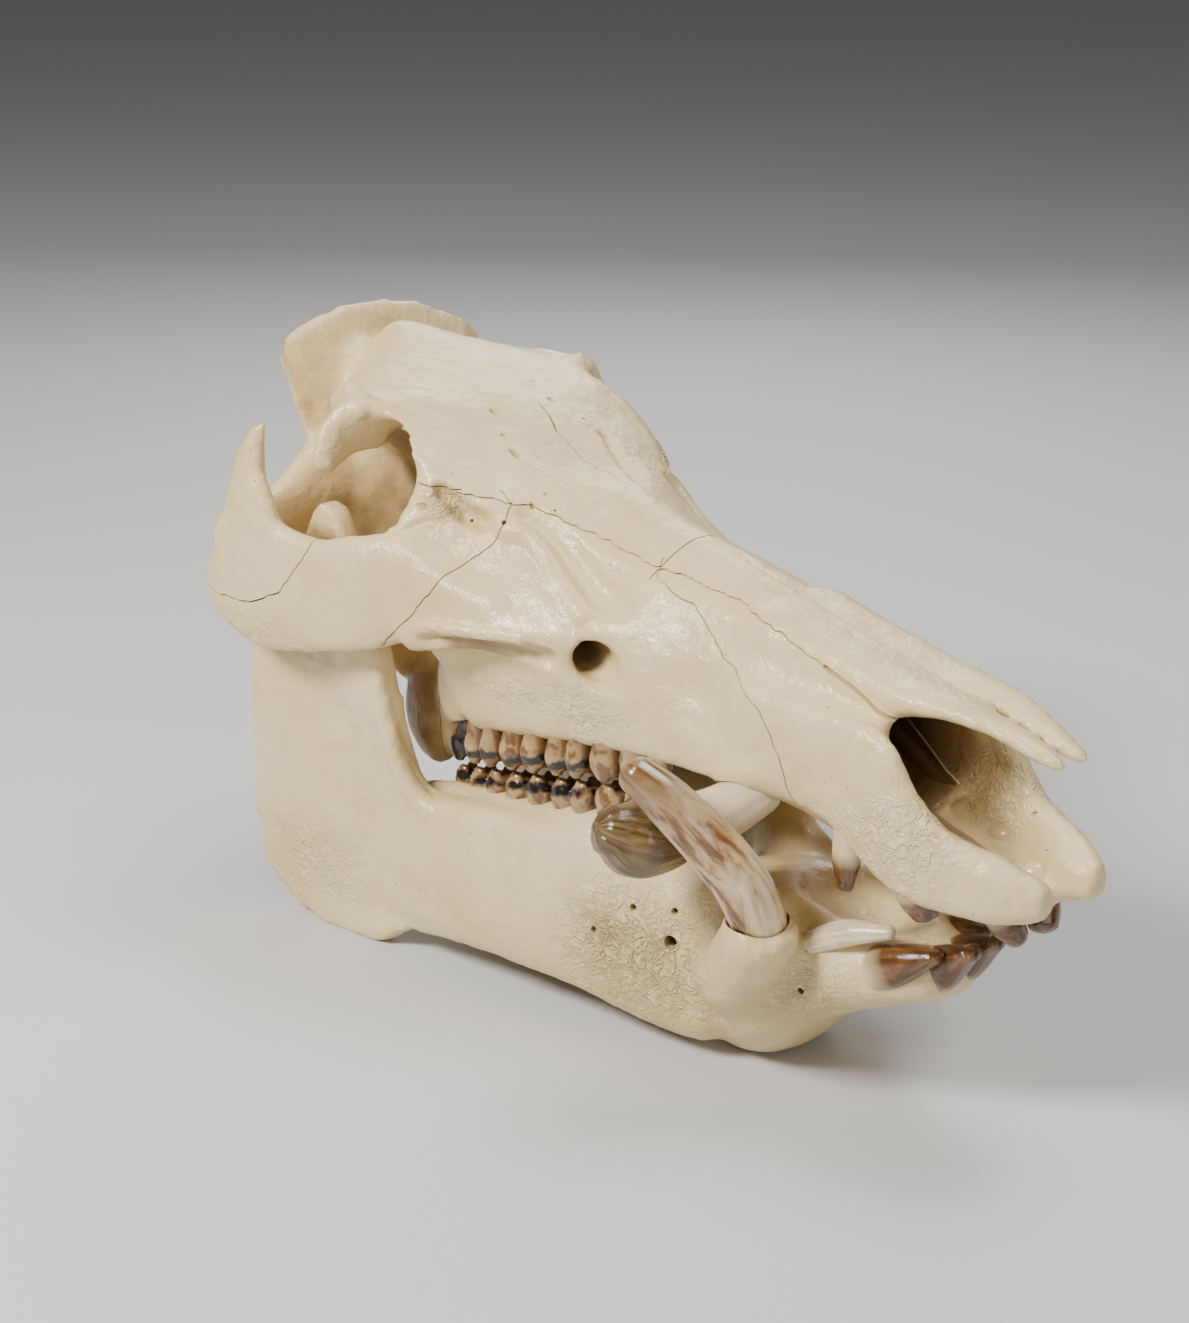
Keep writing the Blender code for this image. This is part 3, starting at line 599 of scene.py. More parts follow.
def nuchal_crest():
    """Fan of bone at the top of the occiput, down to the foramen magnum."""
    verts, faces = tube([
        (2, 0, 204.5, 18, 2),
        (2.5, 0, 201, 33, 3),
        (3.5, 0, 195, 43, 4),
        (5, 0, 188, 45.5, 5),
        (8, 0, 179, 43, 6),
        (11, 0, 164, 38, 8),
        (15, 0, 148, 34, 11),
        (18, 0, 128, 30, 13),
        (21, 0, 110, 25, 12),
        (23, 0, 100, 17, 9),
    ], sides=28, power=2.3, up=(1, 0, 0))
    verts[:, 2] -= CREST_LEAN * verts[:, 1]
    return verts, faces


def zygomatic_arch(spur_height):
    """Cheekbone and arch, its root on the braincase and the spur that rises at the back."""
    arch = tube([
        (124, 46, 131.5, 6.5, 7.5),
        (109, 50.5, 130.5, 7, 12),
        (97, 54.5, 132, 7, 15.5),
        (88, 57.5, 133.5, 6.5, 18),
        (78, 62.5, 131, 6, 19),
        (63, 66.5, 127, 5.5, 19.5),
        (45, 70, 125.5, 6, 21.5),
        (28, 72.5, 124, 6.5, 23),
        (15, 73, 119, 6.5, 15),
        (11, 72.5, 116, 5.5, 9),
    ], power=2.6)
    spur = tube([
        (29, 72, 132, 18, 5.5),
        (29, 72.5, 132 + 0.39 * spur_height, 13, 5),
        (28, 72, 132 + 0.65 * spur_height, 8.5, 4),
        (30, 71, 132 + 0.86 * spur_height, 5, 3.2),
        (33, 69.5, 132 + spur_height, 2.4, 2),
    ], up=(0, 1, 0), power=2.3, dome=1.0)
    root = tube([
        (20, 73, 130, 8, 19),
        (17, 62, 133, 6, 17),
        (16, 50, 136, 5.5, 17),
        (15, 38, 141, 7, 19),
        (16, 26, 146, 9, 24),
    ], power=2.4)
    facial_crest = tube([
        (95, 59, 120.5, 5, 6),
        (115, 54, 124.5, 5, 5),
        (135, 46.5, 127.5, 4, 4.5),
        (152, 39, 127, 3, 3),
    ])
    return [arch, spur, root, facial_crest]


def postorbital_process():
    """Hook of the frontal that half closes the orbit behind."""
    return tube([
        (56, 42, 180, 12, 4),
        (52, 50.5, 176.5, 9.5, 3.7),
        (50.5, 56, 171, 7.5, 4.2),
        (52, 59.5, 166.5, 4.6, 3.4),
    ], up=(1, 0, 0), dome=1.0)


def skull_base():
    """Condyles, paracondylar processes, bullae, basicranium and pterygoids."""
    middle = tube([
        (16, 0, 104, 16, 9),
        (40, 0, 107, 14, 8),
        (68, 0, 110, 13, 9),
        (92, 0, 100, 16, 15),
    ])
    condyle = blob((11, 13, 101), (9.5, 8, 10.5))
    paracondylar = tube([
        (22, 27, 118, 6, 7),
        (23, 31, 100, 4.5, 6.5),
        (26, 33, 82, 3, 5),
        (29, 33, 66, 2, 3.2),
    ], up=(1, 0, 0), dome=1.0)
    bulla = tube([
        (40, 22, 112, 9, 9),
        (42, 23, 98, 8, 8),
        (45, 24, 88, 4, 4),
    ], up=(1, 0, 0), dome=1.0)
    pterygoid = plate([(46, 116), (84, 114), (88, 100), (84, 84), (76, 73), (66, 68.5), (56, 73), (48, 84),
                       (44, 99)], lambda x, z: 20 + 0.2 * (x - 46), 2.6)
    return [middle] + both([condyle, paracondylar, bulla, pterygoid])


def nasals():
    """The pair of nasal bones, which overhang the nose opening as two blunt points."""
    one = tube([
        (205, 9.5, 141, 9.5, 7),
        (240, 9.2, 134.8, 9.4, 6.4),
        (258, 9, 133.2, 9.2, 4.8),
        (276, 8, 133.4, 7.8, 2.9),
        (292, 6.2, 129.8, 5.7, 2.7),
        (306, 4.6, 125.4, 4.1, 2.5),
    ], power=2.3, dome=1.0)
    return both([one])


def premaxilla_bar():
    """Wall and rim of the nose opening, which carries the upper incisors."""
    return tube([
        (206, 26, 113, 5, 16),
        (236, 24.5, 112, 5, 16.5),
        (250, 24.3, 109.3, 4.6, 19.3),
        (258, 24.2, 106, 4.6, 21.6),
        (265.5, 24, 102.5, 4.6, 21.5),
        (270, 23.5, 97.8, 4.8, 18.3),
        (276, 22.1, 93.8, 5.2, 15.2),
        (283, 20, 90.8, 5.8, 12.3),
        (292, 17, 89.3, 6.5, 11.2),
        (301, 13.3, 89, 7, 9.4),
        (306.5, 11.5, 88.5, 6, 7),
    ], power=2.4, dome=0.9, facing=(1, 0, 0))


def palate():
    """Floor of the nose and roof of the mouth, with the paired bars of the vomer on it."""
    floor = tube([
        (150, 0, 100, 24, 6),
        (200, 0, 98, 25, 5),
        (240, 0, 92, 22, 5),
        (268, 0, 83, 19.5, 5),
        (288, 0, 79, 12, 4),
        (299, 0, 79, 8, 3),
    ])
    vomer = tube([
        (215, 3.4, 103, 2.4, 4),
        (250, 3.4, 95, 2.4, 4),
        (278, 3.6, 87, 2.4, 3),
        (297, 4.2, 82.5, 2.2, 2.2),
    ])
    return [floor] + both([vomer])


def canine_eminence():
    """Swelling over the root of the upper tusk."""
    return tube([
        (228, 18, 107, 8, 8),
        (217, 23, 103, 10, 8),
        (205, 25, 100, 10, 7),
    ], dome=0.5)


def cranial_openings():
    """What is cut from the fused cranium: orbits, nose, foramina and the hollow of the occiput."""
    orbit = blob((64.5, 53, 165.5), (19.5, 27, 18))
    infraorbital = tube([
        (136, 29, 125, 3.5, 4),
        (150, 34, 123.5, 5.5, 6.5),
        (161, 38.5, 121, 6.5, 7.5),
        (174, 46, 117.5, 7, 7.5),
    ])
    nose = tube([
        (178, 0, 124, 8, 7),
        (195, 0, 121, 13, 11),
        (215, 0, 119, 15.5, 14),
        (240, 0, 116.5, 18, 18),
        (262, 0, 110.5, 19, 19),
        (285, 0, 105, 15, 14),
        (312, 0, 102, 12, 11.5),
    ], power=2.4)
    gap = tube([
        (285, 0, 95, 1.2, 20),
        (325, 0, 90, 1.2, 20),
    ], sides=12)
    choana = tube([
        (46, 0, 88, 10, 9),
        (74, 0, 95, 11, 9),
        (104, 0, 106, 8, 6),
    ])
    magnum = tube([
        (-8, 0, 110, 9.5, 8.5),
        (26, 0, 112, 8, 8),
    ])
    nuchal_hollow = blob((-11, 0, 174), (13, 27, 26))
    return [nose, gap, choana, magnum, nuchal_hollow] + both([orbit, infraorbital])


CRANIAL_STROKES = (
    # channel in front of the cheek ridge, and the flat of the snout's side
    ((146, 31, 143), (26, 13, 13), (0, -4.0, -1.5)),
    ((196, 31, 120), (24, 14, 13), (0, -2.2, 0)),
    # hollow under the facial crest
    ((118, 50, 113), (26, 14, 9), (0, -3.0, 2.0)),
    # temporal fossa behind the orbit
    ((24, 33, 176), (16, 14, 18), (0, -3.5, 0)),
    # dish between the orbits and the nasals
    ((112, 0, 170), (32, 22, 14), (0, 0, -1.6)),
)


def cranium():
    bodies = [cranial_core(), face(), nuchal_crest()]
    bodies += zygomatic_arch(LEFT_SPUR) + [mirrored(body) for body in zygomatic_arch(RIGHT_SPUR)]
    bodies += both([pterygoid_swelling(), canine_eminence(), tuberosity(), premaxilla_bar()])
    bodies += skull_base() + nasals() + palate()
    bone = fused("cranium", bodies)
    combine(bone, fused("openings", cranial_openings(), 1), "DIFFERENCE")
    combine(bone, link("hooks", mesh_of("hooks", both([postorbital_process()]))), "UNION")
    remesh(bone, 3)
    return press(bone, CRANIAL_STROKES)


# Mandible

def ramus_middle(x, z):
    """How far out the middle of the ramus lies."""
    return 57.0 - 0.0022 * max(0.0, x - 15) ** 2 + 0.02 * (z - 60) - 0.0022 * max(0.0, 40 - z) ** 2


def mandible():
    body = tube([
        (62, 48.5, 34, 3.4, 18),
        (76, 46.5, 34, 5.5, 22),
        (90, 44, 35, 7.5, 25),
        (107, 40.5, 36.5, 9, 26),
        (130, 36.5, 37.5, 10, 27),
        (155, 31, 38, 10.5, 29),
        (178, 25, 36, 11.5, 31),
        (196, 19, 34, 13, 30),
    ], power=2.5)
    symphysis = tube([
        (176, 0, 20, 14, 15),
        (190, 0, 23.6, 24, 27.6),
        (202, 0, 32.5, 30, 29.5),
        (217, 0, 40, 31, 24),
        (231, 0, 43.5, 29, 19),
        (246, 0, 47, 25, 14.5),
        (259, 0, 49, 20, 11),
        (268.5, 0, 49.5, 15.5, 8),
    ], power=2.5)
    ramus = plate([
        (6.5, 22), (16, 6.5), (32, 0), (58, -0.8), (68, 2.5), (76, 8), (96, 13), (97, 40), (88, 56),
        (79.5, 66), (76, 82), (71.5, 104), (64, 124), (57, 148), (49, 154), (41, 142), (34, 124),
        (24, 111), (12, 107), (7, 94), (5.5, 60),
    ], ramus_middle, 4.6)
    condyle = tube([(22, 43, 105, 6, 5), (21, 50, 106.5, 7, 5.5), (21, 58, 105.5, 5.5, 4.5)], dome=1.0)
    canine_sleeve = tube([
        (204, 24, 30, 12, 12),
        (217, 29, 43, 12.5, 12.5),
        (228, 36.5, 58, 11.5, 12),
        (231.5, 38, 64, 10.8, 11.4),
    ], dome=0.1)
    alveolar_ridge = tube([
        (74, 37, 50, 7, 10),
        (92, 33.5, 50.5, 8.5, 12),
        (112, 31.5, 52.5, 9, 12.5),
        (130, 30.5, 55, 8.5, 12.5),
        (148, 29.5, 58.5, 8, 12.5),
        (168, 27, 61, 7, 12.5),
        (186, 24, 62, 6, 12),
    ])
    bodies = [symphysis] + both([body, ramus, condyle, canine_sleeve, alveolar_ridge])
    bone = fused("mandible", bodies)
    return press(bone, (
        ((45, 62, 70), (34, 14, 40), (0, -2.6, 0)),
        ((238, 0, 64), (36, 15, 14), (0, 0, -4.0)),
    ))


def level_base(bone):
    """Cuts small flats where the jaw stands."""
    slab = prism(((-60, -30), (400, -30), (400, 0), (-60, 0)), -120, 120)
    return combine(bone, link("slab", mesh_of("slab", [slab])), "DIFFERENCE", "MANIFOLD")


# Teeth

# Cheek teeth from the last molar forward: middle, length and half width
CHEEK_TEETH = ((94.5, 27.5, 7.4), (119, 21.5, 7.4), (140, 19.5, 6.9), (156.5, 12.5, 6.2),
               (168, 10.5, 4.6),
               (178.5, 10, 3.6))
CHEEK_Y = 30.5
OCCLUSAL = (66.0, 77.0, 0.205)        # height at a station, and its slope forward


def occlusal(x):
    height, station, slope = OCCLUSAL
    return height + slope * (x - station)


# Incisors from the middle outward: rows of their tubes, and what is up across them
UPPER_INCISORS = (
    (((289, 9.5, 85, 4.6, 4.6), (293.5, 8, 77.5, 5.4, 5.2), (296.5, 5.8, 72.6, 4.4, 3.4)), (0, 0, 1)),
    (((268.5, 19.6, 87, 3.4, 5.8), (271.5, 19, 79.5, 3.8, 6.8), (274, 18, 75, 2.8, 5.2)), (1, 0, 0)),
    (((248.5, 24, 97, 3, 3.8), (248.5, 23.4, 85, 3.4, 4.6), (247, 22, 76, 2.2, 3)), (1, 0, 0)),
)
LOWER_INCISORS = (
    (((257, 5.3, 43, 4.7, 5.6), (269.5, 5.5, 52.5, 5.2, 7), (280.5, 5.3, 61.5, 4.2, 2.8)), (0, 0, 1)),
    (((243, 14.5, 42, 5, 5.6), (259, 15.4, 52.5, 5.8, 7), (273.5, 12.2, 60.4, 4, 2.6)), (0, 0, 1)),
    (((236, 22.5, 54, 4, 3.8), (248, 20.8, 61, 4.4, 4), (261, 17.6, 64.6, 2.4, 2.2)), (0, 0, 1)),
)


# Tusks

# Paths of the tusks, each point with its half width
UPPER_TUSK = ((215, 24, 96.5, 7.4), (208.5, 33, 89.5, 8.4), (202.5, 42, 85.5, 9.4),
              (199.5, 50.5, 84, 11.4),
              (196.8, 58, 84.6, 12), (194, 64.5, 87.5, 7.8))
LOWER_TUSK = ((219, 30, 46, 8.2), (227.5, 36, 60, 8.4), (227.5, 44, 76, 8.4), (222.5, 52.3, 89.5, 8.1),
              (213, 59.5, 101, 7.2), (204, 64, 108, 5.6))


def tusk_rows(path, more=0.0):
    """Rows of a tube along a tusk; `more` swells it, for the socket."""
    return [(x, y, z, half + more, half + more) for x, y, z, half in path]


def upper_tusk(more=0.0):
    """Curls out and up."""
    return tube(tusk_rows(UPPER_TUSK, more), sides=12, per_span=2, dome=0.6)


# Sutures

# Curves in x and z that the cuts follow
ROOF_SUTURE = wandering(((96, 165), (106, 163.4), (114, 161.8), (119, 160.7), (125, 158.8),
                 (135, 155.6), (149, 152),
               (158, 150.3), (164, 149.6), (174, 149.2), (184, 147.6), (205, 144.4), (214, 142.4),
               (223, 139.8), (242, 134.2), (255, 129.2), (260, 126.8), (275, 121), (320, 112)), 0.75, 1)
ORBIT_WALL = ((72, 50), (75, 100), (82, 122), (90, 142), (96, 158), (99.5, 168))
PREMAXILLARY_SUTURE = wandering(((161.5, 152), (164.5, 148.6), (170, 146.4), (176, 144.4),
                 (181, 143.6), (187, 140.4),
                       (193, 136), (198, 132), (210, 126.6), (218, 122.4), (222, 118.4), (225.5, 113.8),
                       (228, 108.8), (229.5, 103), (231, 94), (233, 85), (234, 50)), 0.7, 4)
JUGAL_SUTURE = wandering(((58, 94), (74, 103), (83.5, 114), (90, 120.6), (97.4, 126.5),
                 (104.5, 135.8), (108, 143),
                (109.5, 146), (112.9, 149.6), (114.4, 153.3), (114.8, 156.2), (114.4, 158.4),
                 (113.4, 162.2)), 0.7, 7)
TEMPORAL_BELOW = wandering(((-10, 122), (5, 121), (19, 119.5), (33, 120), (47, 126)), 0.7, 9)
TEMPORAL_SUTURE = TEMPORAL_BELOW + wandering(((47, 126), (57, 139), (61, 156)), 0.7, 11)[1:]
MEDIAN_SLIT = ((160, 146), (227, 103), (228.5, 92), (230, 85), (230.5, 60), (330, 60), (330, 156),
               (160, 156))
NASAL_BACK = 163.0
JUGAL_END = (112.8, 164.3)    # past the suture of the roof
JUGAL_TOP = (JUGAL_END, (96, 167.6), (60, 171.2))
JUGAL_DEPTH = 33.0         # y of the jugal's inner cut in front of the orbit
TEMPORAL_DEPTH = 62.0      # and under the joint of the jaw


def prism(outline, y0, y1):
    """Block between two stations across, from its outline in x and z."""
    rings = [[np.array((x, y, z)) for x, z in outline] for y in (y0, y1)]
    return skin(rings)


def curtain(curve, y0, y1, gap=GAP):
    """Sheet as thin as a suture, along a curve in x and z."""
    curve = np.array(curve, float)
    along = np.gradient(curve, axis=0)
    across = np.stack([-along[:, 1], along[:, 0]], 1)
    across *= gap / 2 / np.linalg.norm(across, axis=1)[:, None]
    return prism(np.vstack([curve + across, (curve - across)[::-1]]), y0, y1)


def part_bones(skull):
    """Cuts the cranium along its sutures; returns its pieces, the largest first."""
    sheets = [
        curtain(ROOF_SUTURE, -90, 90),
        curtain(ORBIT_WALL, -JUGAL_DEPTH, JUGAL_DEPTH),
        curtain(PREMAXILLARY_SUTURE, -60, 60),
        prism([(NASAL_BACK, 146), (330, 100), (330, 180), (NASAL_BACK, 180)], -GAP / 2, GAP / 2),
        prism([(NASAL_BACK, 147), (NASAL_BACK + GAP, 147), (NASAL_BACK + GAP, 180), (NASAL_BACK, 180)],
              -40, 40),
        prism(MEDIAN_SLIT, -GAP / 2, GAP / 2),
    ]
    for side in (1, -1):
        sheets += [
            curtain(JUGAL_SUTURE + (JUGAL_END,), side * (JUGAL_DEPTH - GAP), side * 95),
            curtain(TEMPORAL_SUTURE, side * (TEMPORAL_DEPTH - GAP), side * 95),
            curtain([(60, 169.4), (96.5, 165), (100, 165.4)], side * (JUGAL_DEPTH - GAP), side * 95),
            prism(JUGAL_SUTURE + JUGAL_TOP,
                  side * (JUGAL_DEPTH - GAP), side * JUGAL_DEPTH),
            prism(TEMPORAL_BELOW + ((50, 90), (-12, 90)),
                  side * (TEMPORAL_DEPTH - GAP), side * TEMPORAL_DEPTH),
        ]
    for sheet in sheets:
        cut(skull, [sheet])
    return loose_objects(skull)


# Crowns

LOBES = (3, 2, 2, 1, 1, 1)      # of each cheek tooth, the last molar first


def crown(x, length, half_width, lobes, up):
    """Cheek tooth with its cusps, fused; up is 1 for the lower teeth and -1 for the upper."""
    bodies = []
    inward = 1.6 if up > 0 else 0.0
    narrower = 1.2 if up > 0 else 0.0
    pitch = (length - 0.8) / lobes
    for k in range(lobes):
        at = x - length / 2 + 0.4 + pitch * (k + 0.5)
        taper = 1.0 - (0.16 * (lobes - 1 - k) if lobes == 3 else 0.0)
        wide = (half_width - narrower) * taper
        z = occlusal(at) - 0.7 * up
        y = CHEEK_Y - inward
        half = pitch / 2
        bodies.append(tube([
            (at, y, z - 20 * up, wide * 0.55, half * 0.75),
            (at, y, z - 11 * up, wide * 0.8, half * 0.94),
            (at, y, z - 6.5 * up, wide * 0.97, half * 1.04),
            (at, y, z - 3.2 * up, wide * 0.86, half * 0.98),
        ], sides=24, power=2.3, per_span=4, up=(1, 0, 0), dome=0.3))
        for across in (-0.48, 0.48):
            tip = z - 0.9 * up
            bodies.append(tube([
                (at, y + across * wide * 1.05, z - 8 * up, wide * 0.44, half * 0.74),
                (at, y + across * wide, z - 4 * up, wide * 0.42, half * 0.72),
                (at, y + across * wide * 0.9, tip, wide * 0.26, half * 0.46),
            ], sides=16, power=2.0, per_span=4, up=(1, 0, 0), dome=0.5))
    return bodies


def small_remesh(name, bodies, grain, soften):
    """Fuses small bodies at a finer grain than the bones."""
    obj = link(name, mesh_of(name, bodies))
    fuse = obj.modifiers.new("Fuse", "REMESH")
    fuse.mode = "VOXEL"
    fuse.voxel_size = grain
    smooth = obj.modifiers.new("Soften", "SMOOTH")
    smooth.factor = 0.5
    smooth.iterations = soften
    return settle(obj)


def share_attribute(obj, name, values):
    """A number at each vertex, for the shader."""
    layer = obj.data.attributes.new(name, "FLOAT", "POINT")
    layer.data.foreach_set("value", np.asarray(values, np.float32))


def cheek_teeth(name, up):
    """One row on each side; the attributes say how stained each point of the enamel is and where painted
    shade darkens it.
    """
    teeth = []
    for tooth, lobes in zip(CHEEK_TEETH, LOBES):
        teeth.append(small_remesh("tooth", crown(*tooth, lobes, up), 0.55, 3))
    for n, obj in enumerate(teeth):
        co = positions(obj.data)
        x, length = CHEEK_TEETH[n][:2]
        fissures = 0.35 * (1 - 2 * np.abs(rough(co * (1, 1, 0.35), 2.6, n + 3, 2)))
        share_attribute(obj, "stain", enamel_stain_and_shade(co, x, length, up))
        moved(obj, co + normals(obj.data) * (0.25 * fissures)[:, None])
    row = joined(name, teeth)
    return mirrored_copy(row)


def enamel_stain_and_shade(co, x, length, up):
    """0 is clean enamel, 1 black: a band slants across each crown, and the last molar's rear is dark; the
    crown is darker towards the root, and painted shade darkens the recesses between its lobes.
    """
    height = (np.array([occlusal(v) for v in co[:, 0]]) - co[:, 2]) * up
    along = (co[:, 0] - x) / length
    wobble = 1.3 * rough(co, 3.2, 31 + up, 3)
    middle = 4.6 + 2.8 * along * (1 if up < 0 else 0.2) + wobble
    band = np.exp(-((height - middle) / (1.7 if up < 0 else 1.6)) ** 2)
    patchy = np.clip(1.1 + 1.6 * rough(co, 8.0, 51, 2), 0, 1)
    stain = band * patchy * (1.0 if x < 150 else 0.25)
    if x < 100 and up < 0:
        rear = np.clip((x - 2.5 - co[:, 0]) / 3.0, 0, 1)
        stain = np.maximum(stain, rear * np.clip(1.2 - 0.05 * height + 0.5 * wobble, 0, 1))
    # darker towards the root
    rootward_dark_and_recess_shade = np.clip((height - 9.5) / 4, 0, 1) * 0.25
    # painted shade where the crown lies inward of its outermost face, in the recesses between the lobes
    recess_shade = 0.36 * np.clip((np.abs(co[:, 1]).max() - np.abs(co[:, 1]) - 0.9) / 2.2, 0, 1)
    rootward_dark_and_recess_shade = np.maximum(rootward_dark_and_recess_shade, recess_shade)
    mottle = 0.38 * np.clip(0.5 + 1.9 * rough(co, 4.2, 77 + up, 3), 0, 1)
    return np.clip(np.maximum(np.maximum(stain, rootward_dark_and_recess_shade), mottle), 0, 1)


def joined(name, objs):
    """One object from several, which are then gone."""
    whole = bmesh.new()
    for obj in objs:
        whole.from_mesh(obj.data)
    mesh = bpy.data.meshes.new(name)
    whole.to_mesh(mesh)
    whole.free()
    for obj in objs:
        discard(obj)
    return link(name, mesh)


def mirrored_copy(obj):
    """Adds the same shape on the animal's other side."""
    whole = bmesh.new()
    whole.from_mesh(obj.data)
    own = list(whole.verts) + list(whole.edges) + list(whole.faces)
    copy = bmesh.ops.duplicate(whole, geom=own)["geom"]
    for v in copy:
        if isinstance(v, bmesh.types.BMVert):
            v.co.y = -v.co.y
    bmesh.ops.reverse_faces(whole, faces=[f for f in copy if isinstance(f, bmesh.types.BMFace)])
    whole.to_mesh(obj.data)
    whole.free()
    return obj


def ringed(name, rows, sides=40, per_span=10, **shape):
    """A tube as an object, with `along` from 0 at its root to 1 at its tip and the lie of its grain."""
    verts, faces = tube(rows, sides=sides, per_span=per_span, **shape)
    obj = link(name, mesh_of(name, [(verts, faces)]))
    rings = len(verts) // sides
    along = np.repeat(np.linspace(0, 1, rings), sides)
    turn = np.tile(np.arange(sides) * 2 * math.pi / sides, rings)
    share_attribute(obj, "along", along)
    grain = obj.data.attributes.new("grain", "FLOAT_VECTOR", "POINT")
    flat = np.stack([np.cos(turn), np.sin(turn), along], 1).astype(np.float32)
    grain.data.foreach_set("vector", flat.ravel())
    obj.data.polygons.foreach_set("use_smooth", [True] * len(obj.data.polygons))
    return obj


def grooved(obj, depth, seed):
    """Fine ridges along a tusk or an incisor."""
    co, no = positions(obj.data), normals(obj.data)
    flat = np.empty(len(co) * 3, np.float32)
    obj.data.attributes["grain"].data.foreach_get("vector", flat)
    c, s, along = flat.reshape(-1, 3).T
    lie = zip(c, s, along)
    ridges = np.array([noise.noise(Vector((2.6 * a, 2.6 * b, 1.5 * t + seed))) for a, b, t in lie])
    moved(obj, co + no * (depth * ridges)[:, None])
    return obj


# Materials

def shader_of(name, roughness, coat):
    material = bpy.data.materials.new(name)
    material.use_nodes = True
    nodes, links = material.node_tree.nodes, material.node_tree.links
    shader = nodes["Principled BSDF"]
    shader.inputs["Roughness"].default_value = roughness
    shader.inputs["Coat Weight"].default_value = coat
    shader.inputs["Coat Roughness"].default_value = 0.12
    shader.inputs["Coat IOR"].default_value = 1.5
    return material, nodes, links, shader


def texture(nodes, links, where, scale, detail=4.0, distortion=0.0, roughness=0.55):
    """Noise over the piece, in metres."""
    node = nodes.new("ShaderNodeTexNoise")
    node.inputs["Scale"].default_value = scale
    node.inputs["Detail"].default_value = detail
    node.inputs["Roughness"].default_value = roughness
    node.inputs["Distortion"].default_value = distortion
    links.new(where, node.inputs["Vector"])
    return node.outputs["Fac"]


def ramp(nodes, links, factor, stops):
    """Colour ramp: each stop is a place and a colour or a grey."""
    node = nodes.new("ShaderNodeValToRGB")
    elements = node.color_ramp.elements
    while len(elements) < len(stops):
        elements.new(0.5)
    for element, (place, colour) in zip(elements, stops):
        element.position = place
        element.color = (colour, colour, colour, 1) if isinstance(colour, (int, float)) else (*colour, 1)
    links.new(factor, node.inputs["Fac"])
    return node.outputs["Color"]


def mixed(nodes, links, factor, a, b, how="MIX"):
    """Mix of two colours, each a socket or a plain colour."""
    node = nodes.new("ShaderNodeMix")
    node.data_type = "RGBA"
    node.blend_type = how
    for socket, value in ((node.inputs["Factor"], factor), (node.inputs["A"], a), (node.inputs["B"], b)):
        pick(node, links, socket, value)
    return node.outputs["Result"]


def pick(node, links, socket, value):
    """Sets a mix socket; its colour and number sockets share one name."""
    if socket.name in ("A", "B"):
        socket = [s for s in node.inputs if s.name == socket.name and s.type == "RGBA"][0]
    elif socket.name == "Factor":
        socket = [s for s in node.inputs if s.name == "Factor" and s.type == "VALUE"][0]
    if hasattr(value, "links"):
        links.new(value, socket)
    elif isinstance(value, (int, float)):
        socket.default_value = value
    else:
        socket.default_value = (*value, 1)


def maths(nodes, links, how, a, b):
    node = nodes.new("ShaderNodeMath")
    node.operation = how
    node.use_clamp = how in ("ADD", "MULTIPLY")
    for i, value in enumerate((a, b)):
        if hasattr(value, "links"):
            links.new(value, node.inputs[i])
        else:
            node.inputs[i].default_value = value
    return node.outputs["Value"]


def bumped(nodes, links, shader, layers):
    """Bump layers on a shader and its coat; each is a height, a strength and a depth in metres."""
    normal = None
    for height, strength, depth in layers:
        node = nodes.new("ShaderNodeBump")
        node.inputs["Distance"].default_value = depth
        if hasattr(strength, "links"):
            links.new(strength, node.inputs["Strength"])
        else:
            node.inputs["Strength"].default_value = strength
        links.new(height, node.inputs["Height"])
        if normal is not None:
            links.new(normal, node.inputs["Normal"])
        normal = node.outputs["Normal"]
    links.new(normal, shader.inputs["Normal"])
    links.new(normal, shader.inputs["Coat Normal"])


def attribute(nodes, name):
    node = nodes.new("ShaderNodeAttribute")
    node.attribute_name = name
    return node


BONE_LIGHT = (0.76, 0.60, 0.32)
BONE_MIDDLE = (0.68, 0.50, 0.235)
BONE_WARM = (0.56, 0.37, 0.145)
# brown stain and painted shade for the hollows of the bone
BONE_TAN_STAIN_AND_SHADE = (0.29, 0.175, 0.062)
BONE_DEEP_BROWN_AND_SHADE = (0.085, 0.043, 0.013)
CRACK_STAIN = (0.42, 0.24, 0.09)
PORE_STAIN = (0.30, 0.16, 0.06)
ENAMEL_LIGHT = (0.58, 0.40, 0.20)
ENAMEL_DARK = (0.19, 0.095, 0.03)
ENAMEL_BROWN = (0.20, 0.085, 0.024)
ENAMEL_BLACK = (0.010, 0.007, 0.006)
# dark varnish and dirt in the cracks and holes, deepened as painted shade
CREVICE_LIGHT = (0.40, 0.22, 0.08)
CREVICE = (0.16, 0.07, 0.02)


